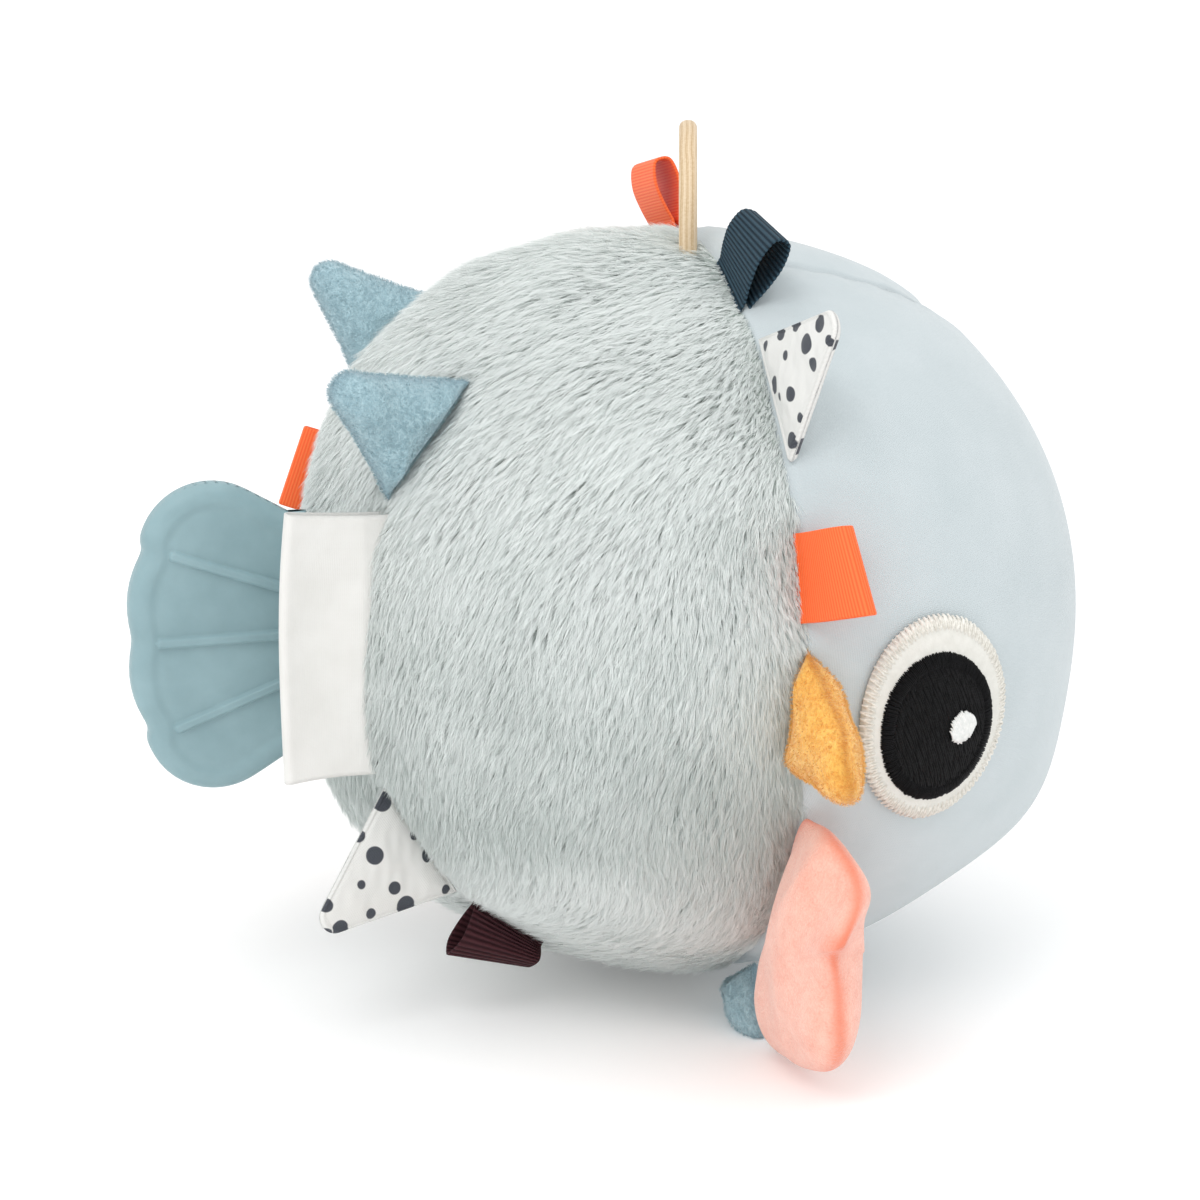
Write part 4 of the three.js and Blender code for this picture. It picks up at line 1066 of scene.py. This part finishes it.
def flap(word, spec, seed):
    """Two layers of cotton sewn round their edge and turned, with a crackling sheet between them."""
    outline = pointed_outline(spec["base"], spec["length"], FLAP_TIP_ROUND, 0.0, 160)
    middle = np.array([0, spec["length"] * FLAP_MIDDLE])
    share = np.concatenate([np.linspace(0.06, 0.86, 22), [0.9, 0.925, 0.945, 0.965, 0.985, 1.0]])
    puff = np.interp(share, *np.transpose(FLAP_PUFF))
    flat = middle + (outline[None] - middle) * share[:, None, None]
    rings, count = len(share), len(outline)
    spots = np.stack([flat[:, :, 0], np.zeros(flat.shape[:2]), flat[:, :, 1]], axis=2).reshape(-1, 3)
    crumple = 0.28 * waves(spots, 8, seed) + 0.1 * waves(spots, 3, seed + 1)
    crumple *= 1 - share.repeat(count) ** 4
    puff = puff.repeat(count)
    skins = [np.stack([spots[:, 0], sign * puff + crumple, spots[:, 2]], axis=1) for sign in (1, -1)]
    points = np.concatenate([*skins, [skin[:count].mean(0) for skin in skins]])
    points[:, 2] = np.maximum(points[:, 2], 0) + FLAP_LIFT
    uv = points[:, [0, 2]] + np.where(points[:, 1:2] > 0, 40, 0) + seed * 3.1
    faces = outward(points, two_skins(rings, count))
    made = add_mesh(f"{word}_flap_cotton", seated(spec["place"], points), faces, uv)
    made.data.materials.append(COTTON)
    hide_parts(f"{word}_dotted_flap")
    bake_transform(made)


# Label

LABEL_HEIGHT = 46.0
LABEL_LENGTH = 13.5
LABEL_FOLD = 2.6
LABEL_CLOTH = 0.35
LABEL_LEAN = 14
LABEL_MIDDLE = 1.8


def label():
    """One strip of satin folded in half, its ends in the seam and its fold outwards. It is blank."""
    half = LABEL_FOLD / 2
    foot = -(seam_drop(LABEL_HEIGHT / 2) + 1.5)
    straight = np.linspace(foot, LABEL_LENGTH - half, 40)
    turn = np.linspace(math.pi, 0, 16)[1:-1]
    line = np.concatenate([np.stack([np.full(40, -half), straight], axis=1),
                           np.stack([half * np.cos(turn), LABEL_LENGTH - half + half * np.sin(turn)], axis=1),
                           np.stack([np.full(40, half), straight[::-1]], axis=1)])
    lengths = lengths_along(line)
    normal = line_normals(line)
    across = np.linspace(-1, 1, 60)
    skins = []
    for sign in (1, -1):
        yz = line + normal * sign * LABEL_CLOTH / 2
        z = yz[:, 1:2]
        rise = np.clip(z / LABEL_LENGTH, 0, 1)
        x = across * LABEL_HEIGHT / 2 * (1 + 0.03 * rise**2)
        bulge = 1.3 * rise * (1 - rise) * 4 * (1 - 0.6 * across**2)
        sag = 0.9 * rise * np.sin(across * 2.3 + 0.6)
        y = yz[:, 0:1] + bulge + sag
        skins.append(np.stack([x, y, z + 0.7 * (1 - across**2) * rise], axis=2))
    points, faces, uv = folded_strip(skins, across * LABEL_HEIGHT / 2, lengths)
    place = in_gusset_seam(RIGHT, LABEL_MIDDLE, LABEL_LEAN, LABEL_FOLD)
    made = add_mesh("side_label_satin", seated(place, points), faces, uv)
    finish_piece(made, SATIN, "ball", ["side_label"])


# Eyes

EYE = {"face_angle": 69.9, "roll": 96.1, "tilt": 13.0, "half_height": 18.3, "half_width": 15.7}
PUPIL = {"face_angle": 70.2, "roll": 97.0, "tilt": 24.0, "half_height": 13.2, "half_width": 11.6}
GLINT = {"face_angle": 66.8, "roll": 97.4, "tilt": 20.0, "half_height": 2.8, "half_width": 2.6}
EYE_LIFT = 0.55
EYE_THICKNESS = 0.9
EYE_TOP = BALL_RADIUS + EYE_LIFT + EYE_THICKNESS
EYE_TEETH = 96
PUPIL_STITCHES = 230
FILL_PITCH = 0.4
FILL_SHARE = 0.84
GLINT_PITCH = 0.32
STITCH_SECTION = [(-0.5, -0.55), (-0.36, -0.12), (0, 0.1), (0.36, -0.12), (0.5, -0.55)]


def eye_frame(side, spec):
    """The middle of a patch on the ball, and the directions up and forward along the ball there."""
    away, roll = math.radians(spec["face_angle"]), math.radians(spec["roll"])
    beside, over = math.sin(away) * math.sin(roll), math.sin(away) * math.cos(roll)
    middle = np.array([math.cos(away), side * beside, over])
    forward = unit(np.array([1.0, 0, 0]) - middle * middle[0])
    up = -side * np.cross(forward, middle)
    tilt = math.radians(spec["tilt"])
    cos, sin = math.cos(tilt), math.sin(tilt)
    return middle, up * cos + forward * sin, forward * cos - up * sin


def on_eye(frame_of_eye, up, forward, radius):
    """A point so many millimetres up and forward of a patch's middle, over the ball."""
    middle, up_way, forward_way = frame_of_eye
    up, forward, radius = np.broadcast_arrays(*(np.asarray(x, float) for x in (up, forward, radius)))
    arc = np.hypot(up, forward) / BALL_RADIUS
    heading = unit(up[..., None] * up_way + forward[..., None] * forward_way)
    return (middle * np.cos(arc)[..., None] + heading * np.sin(arc)[..., None]) * radius[..., None]


def on_patch(place, spec, turn, share, radius):
    """A point of a patch at a turn from its top and a share of its size."""
    up, forward = spec["half_height"] * np.cos(turn) * share, spec["half_width"] * np.sin(turn) * share
    return on_eye(place, up, forward, radius)


def disc(name, side, spec, base, thickness, material, node):
    """A thin domed patch with a soft edge."""
    rings, spokes = 26, 120
    share = np.linspace(0, 1, rings + 1)[1:, None]
    turn = np.linspace(0, 2 * np.pi, spokes, endpoint=False)[None]
    place = eye_frame(side, spec)
    edge = np.clip((share - 0.93) / 0.07, 0, 1)
    top = on_patch(place, spec, turn, share, base + thickness * np.sqrt(1 - edge**2))
    under = on_patch(place, spec, turn, share, base - 0.4)
    tops = np.stack([place[0] * (base + thickness), place[0] * (base - 0.4)])
    points = np.concatenate([top.reshape(-1, 3), under.reshape(-1, 3), tops])
    made = add_mesh(name, points, outward(points, two_skins(rings, spokes)))
    return finish_piece(made, material, "ball", [node])


def stitches(name, starts, ends, width, height, material):
    """Raised threads from start to end points, each a small arch with a round back."""
    steps = 7
    share = np.linspace(0, 1, steps)
    arch = np.sin(np.pi * share) ** 0.45
    ups = unit(starts + ends)
    spine = starts[:, None] + (ends - starts)[:, None] * share[None, :, None]
    spine = spine + ups[:, None] * (height * arch)[None, :, None]
    along = unit(ends - starts)
    wide = unit(np.cross(along, ups))
    rows = [spine + wide[:, None] * (a * width * (0.55 + 0.45 * arch))[None, :, None]
            + ups[:, None] * (b * height) for a, b in STITCH_SECTION]
    points = np.stack(rows, axis=2)
    count, _, columns, _ = points.shape
    one = grid_quads(steps, columns)
    faces = (np.arange(count)[:, None, None] * steps * columns + one[None]).reshape(-1, 4)
    made = add_mesh(name, points.reshape(-1, 3), [faces])
    return finish_piece(made, material, "ball")


def eye_border(word, side, rng):
    """Zigzag stitches over the edge of the felt."""
    place = eye_frame(side, EYE)
    step = 2 * np.pi / EYE_TEETH
    index = np.arange(2 * EYE_TEETH)
    shares = [middle + rng.normal(0, spread, len(index)) for middle, spread in ((0.86, 0.004), (1.02, 0.005))]
    starts = on_patch(place, EYE, (index + 1) // 2 * step, shares[0], EYE_TOP - 0.05)
    ends = on_patch(place, EYE, (index // 2 + 0.5) * step, shares[1], BALL_RADIUS + EYE_LIFT + 0.2)
    stitches(f"{word}_eye_border", starts, ends, 0.5, 0.6, CREAM_THREAD)


def pupil_border(word, side, rng):
    place = eye_frame(side, PUPIL)
    count = PUPIL_STITCHES
    turn = np.linspace(0, 2 * np.pi, count, endpoint=False) + rng.normal(0, 0.004, count)
    starts = on_patch(place, PUPIL, turn - 0.01, 0.80 + rng.normal(0, 0.008, count), EYE_TOP + 0.35)
    ends = on_patch(place, PUPIL, turn + 0.01, 1.03 + rng.normal(0, 0.006, count), EYE_TOP + 0.05)
    stitches(f"{word}_pupil_border", starts, ends, 0.42, 0.6, BLACK_THREAD)


def pupil_fill(word, side, rng):
    """Rows of long stitches from edge to edge."""
    place = eye_frame(side, PUPIL)
    lines = []
    reach_up, reach_forward = PUPIL["half_height"] * FILL_SHARE, PUPIL["half_width"] * FILL_SHARE
    for forward in np.arange(-reach_forward, reach_forward, FILL_PITCH):
        half = reach_up * math.sqrt(max(0, 1 - (forward / reach_forward) ** 2))
        up = -half - rng.uniform(0, 4)
        while up < half:
            longer = rng.uniform(3.5, 7)
            low, high = max(up, -half), min(up + longer, half)
            if high - low > 0.8:
                lines.append((low, high, forward + rng.normal(0, 0.06), forward + rng.normal(0, 0.06)))
            up += longer * 0.92
    low, high, low_forward, high_forward = np.array(lines).T
    starts = on_eye(place, low, low_forward, EYE_TOP + 0.5)
    ends = on_eye(place, high, high_forward, EYE_TOP + 0.5)
    stitches(f"{word}_pupil_fill", starts, ends, 0.4, 0.22, BLACK_THREAD)


def eye_glint(word, side, rng):
    place = eye_frame(side, GLINT)
    forwards = np.arange(-GLINT["half_width"], GLINT["half_width"] + 0.01, GLINT_PITCH)
    share = forwards / (GLINT["half_width"] + 0.2)
    halves = GLINT["half_height"] * np.sqrt(np.maximum(0.05, 1 - share**2))
    starts, ends = (on_eye(place, reach + rng.normal(0, 0.12, len(forwards)), forwards, EYE_TOP + 1.0)
                    for reach in (-halves, halves))
    threads = stitches(f"{word}_glint_threads", starts, ends, 0.42, 0.5, GLINT_THREAD)
    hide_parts(f"{word}_eye_glint")


def eye(word, side):
    rng = np.random.default_rng(40)
    disc(f"{word}_eye_felt", side, EYE, BALL_RADIUS + EYE_LIFT, EYE_THICKNESS, EYE_FELT,
         f"{word}_eye_patch")
    eye_border(word, side, rng)
    disc(f"{word}_pupil_ground", side, PUPIL, EYE_TOP, 0.5, PUPIL_GROUND, f"{word}_pupil")
    pupil_border(word, side, rng)
    pupil_fill(word, side, rng)
    eye_glint(word, side, rng)


# Wooden ring and tail

RING_OUTER = 19.0
RING_LIMB = 5.5
RING_THICKNESS = 3.2
RING_ROUND = 1.4
RING_STAND = 17.5
RING_SEGMENTS = 160
RING_TURN = 17.0
RING_AXIS = np.array([math.cos(math.radians(RING_TURN)), -math.sin(math.radians(RING_TURN)), 0.0])


def wooden_ring():
    quarter = np.linspace(0, np.pi / 2, 8)
    across, thick = RING_LIMB / 2 - RING_ROUND, RING_THICKNESS / 2 - RING_ROUND
    corners = []
    for index, (a, b) in enumerate([(1, 1), (-1, 1), (-1, -1), (1, -1)]):
        turn = quarter + index * np.pi / 2
        corners.append([a * across + RING_ROUND * np.cos(turn), b * thick + RING_ROUND * np.sin(turn)])
    wide, deep = np.concatenate(corners, axis=1)[:, None, :, None]
    turn = np.linspace(0, 2 * np.pi, RING_SEGMENTS, endpoint=False)[:, None]
    up = np.array([0, 0, 1.0])
    outwards = np.cos(turn) * np.cross(up, RING_AXIS) + np.sin(turn) * up
    centre = up * (BALL_RADIUS + RING_STAND - RING_OUTER)
    points = centre + outwards[:, None] * (RING_OUTER - RING_LIMB / 2 + wide) + RING_AXIS * deep
    points = points.reshape(-1, 3)
    faces = grid_quads(RING_SEGMENTS + 1, len(points) // RING_SEGMENTS, wraps=True) % len(points)
    made = add_mesh("wooden_ring_turned", points, [faces[:, ::-1]])
    finish_piece(made, WOOD, "ring", ["wooden_ring"])


TAIL_THICKNESS = 6.4
TAIL_APEX_DEPTH = 18.0
TAIL_REACH = 49.6
TAIL_LOBE_STEP = 20.0
TAIL_LOBE_BULGE = 1.7
TAIL_CORNER_RADIUS = 12.7
TAIL_CORNER = (35.5, 15.0)
TAIL_ROOT_HALF = 21.5
TAIL_RIM_ROUND = 2.4
TAIL_RIB = {"length": 21.0, "width": 1.7, "height": 0.95, "inset": 4.4}
TAIL_ROWS, TAIL_COLUMNS = 118, 390
TAIL_SOFTENING = 40
TAIL_ROOT_X = TAIL_APEX_DEPTH + 0.35 + TAIL_THICKNESS / 2


def tail_outline():
    """The upper half of the fan, from its root to the middle of its far edge."""
    across, up = TAIL_CORNER

    def at(angle, reach):
        return np.array([reach * math.cos(math.radians(angle)), reach * math.sin(math.radians(angle))])

    notch = at(TAIL_LOBE_STEP, TAIL_REACH)
    start = math.atan2(notch[1] - up, notch[0] - across)
    to_root = math.atan2(up - TAIL_ROOT_HALF, across - TAIL_ROOT_X)
    reach = math.hypot(across - TAIL_ROOT_X, up - TAIL_ROOT_HALF)
    end = to_root + math.pi - math.acos(TAIL_CORNER_RADIUS / reach)
    turn = np.linspace(end, start, 60)
    corner = np.array([across, up]) + TAIL_CORNER_RADIUS * np.stack([np.cos(turn), np.sin(turn)], axis=1)
    share = np.linspace(0, 1, 30)[1:, None]
    crown = at(TAIL_LOBE_STEP / 2, TAIL_REACH + 2 * TAIL_LOBE_BULGE)
    lobe = notch * (1 - share) ** 2 + 2 * crown * share * (1 - share) + at(0, TAIL_REACH) * share**2
    root = np.array([[TAIL_ROOT_X, TAIL_ROOT_HALF]])
    return np.concatenate([root, corner, lobe])


def distance_to_line(spots, line):
    """How far each flat spot is from a line of close points."""
    tree = kdtree.KDTree(len(line))
    for index, (x, y) in enumerate(line):
        tree.insert((x, y, 0), index)
    tree.balance()
    return np.fromiter((tree.find((x, y, 0))[2] for x, y in spots), float, len(spots))


def tail_half_thickness(spots, from_rim):
    """Rounded at the rim, with a shallow groove along it and three raised ribs."""
    inward = np.clip(1 - from_rim / TAIL_RIM_ROUND, 0, 1)
    half = TAIL_THICKNESS / 2 - TAIL_RIM_ROUND * (1 - np.sqrt(1 - inward**2))
    half += 0.18 * np.exp(-((from_rim - 3.0) / 0.9) ** 2) - 0.1 * np.exp(-((from_rim - 4.6) / 0.9) ** 2)
    rib_end = TAIL_REACH - TAIL_RIB["inset"]
    rib_start = rib_end - TAIL_RIB["length"]
    for angle in (-TAIL_LOBE_STEP, 0, TAIL_LOBE_STEP):
        cos, sin = math.cos(math.radians(angle)), math.sin(math.radians(angle))
        along, beside = spots @ np.array([cos, sin]), spots @ np.array([-sin, cos])
        over = np.clip(rib_start - along, 0, None) + np.clip(along - rib_end, 0, None)
        off = np.hypot(beside, over) / (TAIL_RIB["width"] / 2)
        half += TAIL_RIB["height"] * np.clip(1.35 - off**2, 0, 1) ** 0.5 * (off < 1.16)
    return half


def tail():
    """A silicone fan with three raised ribs on each face and a round root beside the ball."""
    rows, columns = TAIL_ROWS, TAIL_COLUMNS
    half = tail_outline()
    outline = np.concatenate([half, half[::-1][1:] * [1, -1]])
    lengths = lengths_along(outline)
    at = np.linspace(0, lengths[-1], columns)
    outline = at_lengths(outline, lengths, at)
    for _ in range(TAIL_SOFTENING):
        outline[1:-1] = (outline[:-2] + 2 * outline[1:-1] + outline[2:]) / 4
    root_heights = np.linspace(TAIL_ROOT_HALF, -TAIL_ROOT_HALF, columns)
    root = np.stack([np.full(columns, TAIL_ROOT_X), root_heights], axis=1)
    share = 1 - np.linspace(1, 0, rows)[:, None, None] ** 1.5
    spots = (root[None] + (outline - root)[None] * share).reshape(-1, 2)
    rim = at_lengths(outline, at, np.linspace(0, lengths[-1], 2000))
    half_thick = tail_half_thickness(spots, distance_to_line(spots, rim))
    skins = [np.stack([-spots[:, 0], sign * half_thick, spots[:, 1]], axis=1) for sign in (1, -1)]

    back = TAIL_THICKNESS / 2
    turns = np.linspace(0, math.pi, 14)[1:-1]
    behind = [np.stack([np.full(columns, back * math.sin(turn) - TAIL_ROOT_X),
                        back * math.cos(turn) * np.clip(half_thick[:columns] / back, 0, 1),
                        root_heights], axis=1) for turn in turns]
    points = np.concatenate([*skins, *behind])
    points[:, 0] -= BALL_RADIUS - TAIL_APEX_DEPTH
    second = rows * columns
    j = np.arange(columns)
    lines = [j, *(2 * second + k * columns + j for k in range(len(turns))), second + j]
    strips = [np.stack([a[:-1], a[1:], b[1:], b[:-1]], axis=1) for a, b in zip(lines, lines[1:])]
    edge = second - columns + j[:-1]
    wall = np.stack([edge + 1, edge, edge + second, edge + second + 1], axis=1)
    faces = [grid_quads(rows, columns)[:, ::-1], grid_quads(rows, columns, first=second), wall, *strips]
    made = add_mesh("tail_teether_moulded", points, outward(points, [np.concatenate(faces)]))
    finish_piece(made, SILICONE, "tail", ["tail_teether"])


# Stuffing

FILLING_RADIUS = 64.5
FILLING_CLEARANCE = 3.2
FILLING_GAP = 0.3


def stuffing(name, node, end):
    """Loose fibre that fills one half of the ball, round the rattle."""
    rows, columns = 40, 80
    turn = np.linspace(0, np.pi / 2, rows)[:, None]
    around = np.linspace(0, 2 * np.pi, columns, endpoint=False)[None]
    directions = np.stack([end * np.cos(turn) * np.ones_like(around), np.sin(turn) * np.cos(around),
                           np.sin(turn) * np.sin(around)], axis=2).reshape(-1, 3)
    radius = FILLING_RADIUS + 0.8 * waves(directions * 64, 9, 31) + 0.5 * waves(directions * 64, 4, 32)
    outer = directions * above_floor(directions, radius, FILLING_CLEARANCE)[:, None]
    points = np.concatenate([outer, np.zeros((1, 3))])
    points[:, 0] += end * FILLING_GAP
    last = (rows - 1) * columns + np.arange(columns)
    close = np.stack([last, np.roll(last, -1), np.full(columns, len(outer))], axis=1)[:, ::-1]
    faces = outward(points, [grid_quads(rows, columns, wraps=True), close])
    made = add_mesh(name, points, faces)
    finish_piece(made, FIBRE, "ball", [node])


# Studio


def aim(thing, azimuth, elevation, distance):
    """Puts a camera or lamp at a distance from the ball's centre, turned to it."""
    a, e = math.radians(azimuth), math.radians(elevation)
    back = Vector((math.sin(a) * math.cos(e), -math.cos(a) * math.cos(e), math.sin(e)))
    thing.location = Vector(CENTRE) + back * distance
    thing.rotation_euler = (-back).to_track_quat("-Z", "Y").to_euler()
    bpy.context.scene.collection.objects.link(thing)


def camera():
    data = bpy.data.cameras.new("camera")
    data.sensor_width = SENSOR_WIDTH
    data.lens = FOCAL_PIXELS / PICTURE_PIXELS * SENSOR_WIDTH
    data.shift_x = (PICTURE_PIXELS / 2 - BALL_CENTRE_PIXEL) / PICTURE_PIXELS
    data.clip_start = 0.01
    data.clip_end = 200
    made = bpy.data.objects.new("camera", data)
    aim(made, CAMERA_AZIMUTH, CAMERA_ELEVATION, CAMERA_DISTANCE)
    bpy.context.scene.camera = made


def floor():
    turn = np.linspace(0, 2 * np.pi, 96, endpoint=False)
    rim = np.stack([np.cos(turn), np.sin(turn), np.zeros(96)], axis=1) * FLOOR_RADIUS / MM
    rim[:, 2] = FLOOR_LEVEL
    made = add_mesh("floor", rim, [np.arange(96)[None]])
    look = Look("floor_paint", 0.9, Base_Color=(*FLOOR_COLOUR, 1),
                Emission_Color=(1, 1, 1, 1), Emission_Strength=FLOOR_GLOW)
    made.data.materials.append(look.material)


def daylight():
    world = bpy.data.worlds.new("studio")
    world.use_nodes = True
    world.node_tree.nodes["Background"].inputs["Color"].default_value = (1, 1, 1, 1)
    world.node_tree.nodes["Background"].inputs["Strength"].default_value = WORLD_STRENGTH
    bpy.context.scene.world = world
    bpy.context.scene.view_settings.view_transform = "Standard"


def lamp(name, spec):
    data = bpy.data.lights.new(name, "AREA")
    data.energy = spec["power"]
    data.shape = "DISK"
    data.size = spec["size"]
    aim(bpy.data.objects.new(name, data), *spec["from"], spec["distance"])


# The scene

camera()
floor()
daylight()
for name, spec in LIGHTS.items():
    lamp(name, spec)

SMOOTH_CLOTH = smooth_cloth()
PLUSH_BACKING = backing("plush_backing", srgb(206, 215, 210), srgb(218, 226, 221))
# The root colour is painted shade deep in the pile, then the low and high tints
PLUSH_COLOURS = srgb(226, 233, 230), srgb(204, 213, 210), srgb(252, 255, 254)
PLUSH_PILE = pile("plush_pile", *PLUSH_COLOURS, PLUSH_LIGHT_THROUGH)
# Each first colour is the painted shade in creases and at the foot
VELOUR_COLOURS = {
    "blue": (srgb(128, 159, 172), srgb(148, 178, 188), srgb(174, 203, 211)),
    "mustard": (srgb(206, 138, 50), srgb(240, 176, 72), srgb(254, 206, 104)),
    "coral": (srgb(238, 134, 104), srgb(243, 168, 146), srgb(255, 198, 179)),
}
# Each first colour is the root's painted shade deep in the pile
PILE_COLOURS = {
    "blue": (srgb(160, 188, 197), srgb(176, 203, 211), srgb(204, 226, 232)),
    "mustard": (srgb(240, 176, 80), srgb(250, 194, 96), srgb(255, 220, 140)),
}
BACKINGS = {word: velour(f"{word}_velour", *tones) for word, tones in VELOUR_COLOURS.items()}
PILES = {word: pile(f"{word}_pile", *tones, SHORT_LIGHT_THROUGH) for word, tones in PILE_COLOURS.items()}
RIBBON_LOOKS = {
    "orange": ribbed_cloth("orange_tape", srgb(250, 98, 50), srgb(255, 124, 70), 0.55, 0.03, 0.5, 0.2),
    "navy": ribbed_cloth("navy_tape", srgb(24, 42, 54), srgb(56, 80, 94), 0.85, 0.2, 0.6, 0.15),
    "maroon": ribbed_cloth("maroon_tape", srgb(46, 20, 25), srgb(76, 42, 47), 0.85, 0.2, 0.6, 0.15),
}
COTTON = dotted_cotton()
SATIN = label_satin()
EYE_FELT = felt("eye_felt", srgb(217, 216, 209), srgb(228, 227, 221))
CREAM_THREAD = thread("cream_thread", srgb(212, 209, 200), srgb(238, 236, 229), roughness=0.5, shine=0.4)
PUPIL_GROUND = felt("pupil_ground", srgb(8, 8, 9), srgb(16, 16, 18), shine=0.12)
BLACK_THREAD = thread("black_thread", srgb(8, 8, 9), srgb(22, 22, 24), roughness=0.5, shine=0.12)
GLINT_THREAD = thread("glint_thread", srgb(228, 230, 228), srgb(244, 244, 242), roughness=0.45, shine=0.4)
WOOD = wood(RING_AXIS)
SILICONE = silicone()
FIBRE = felt("loose_fibre", srgb(238, 238, 234), srgb(252, 252, 250))

RIBBONS = {
    "top_orange": ("orange", in_round_seam(LEFT, 12, -10, RIBBON_FOOT), 11.5, 5.0, 0.0),
    "right_navy": ("navy", in_round_seam(RIGHT, 24, 21, RIBBON_FOOT), 12.0, 5.2, 0.14),
    "right_orange": ("orange", in_round_seam(RIGHT, 73.5, 27, RIBBON_FOOT), 12.8, 4.4, 0.15),
    "left_navy": ("navy", in_round_seam(LEFT, 53, 10, RIBBON_FOOT), 13.2, 7.0, 0.0),
    "left_maroon": ("maroon", in_gusset_seam(LEFT, 0, 0, RIBBON_FOOT), 13.0, 8.0, 0.0),
    "rear_maroon": ("maroon", in_gusset_seam(RIGHT, -52, 0, RIBBON_FOOT), 7.4, 6.4, 0.42),
    "rear_orange": ("orange", in_gusset_seam(LEFT, 20, 0, RIBBON_FOOT), 7.5, 3.0, 0.0),
}
SEWN = [(spec["place"], spec["base"] / 2) for spec in [*SPIKES.values(), *FLAPS.values()]]
SEWN += [(place, RIBBON_WIDTH / 2) for _, place, _, _, _ in RIBBONS.values()]
SEWN += [(in_round_seam(side, FIN_ROLL), FIN_ROOT_HALF_WIDTH) for side in SIDES.values()]

for word, side in SIDES.items():
    cheek(word, side)
wedge("forehead_cloth", "forehead_gusset", 1)
wedge("chin_cloth", "chin_gusset", -1)
for seed, (word, side) in enumerate(SIDES.items(), 100):
    edges = round_seam(BACK, side, SEAM_ROLLS), gusset_seam(BACK, side, GUSSET_HALF_WIDTH + 0.2, SEAM_HEIGHTS)
    plush_cover(f"{word}_plush", f"{word}_back_cover", *edges, BACK_COVER_COLUMNS, seed)
edges = [gusset_seam(BACK, side, GUSSET_HALF_WIDTH - 0.2, SEAM_HEIGHTS) for side in (RIGHT, LEFT)]
plush_cover("rear_plush", "rear_gusset", *edges, REAR_GUSSET_COLUMNS, 103)
stuffing("front_fibre", "front_filling", FRONT)
stuffing("rear_fibre", "rear_filling", BACK)
for word, side in SIDES.items():
    eye(word, side)
wooden_ring()
tail()
for seed, (name, spec) in enumerate(SPIKES.items(), 200):
    spike(name, spec, seed)
for seed, (word, side) in enumerate(SIDES.items(), 300):
    fin(word, side, seed)
for seed, (word, spec) in enumerate(FLAPS.items(), 7):
    flap(word, spec, seed)
for name, (colour, place, height, belly, slant) in RIBBONS.items():
    ribbon(name, colour, place, height, belly, slant)
label()

SHELL_PLASTIC = plain_plastic("rattle_shell_plastic", srgb(222, 222, 218), srgb(238, 238, 234), 0.4)
BEAD_PLASTIC = plain_plastic("rattle_bead_plastic", srgb(204, 204, 198), srgb(220, 220, 214), 0.35)
FILM = crinkle_film()
CAD_LOOKS = {
    "rattle_shell_right": SHELL_PLASTIC, "rattle_shell_left": SHELL_PLASTIC, "rattle_ball": BEAD_PLASTIC,
    "tail_tab": SILICONE, "right_flap_film": FILM, "left_flap_film": FILM, "rear_flap_film": FILM,
}
for node, material in CAD_LOOKS.items():
    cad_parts[node].data.materials.clear()
    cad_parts[node].data.materials.append(material)
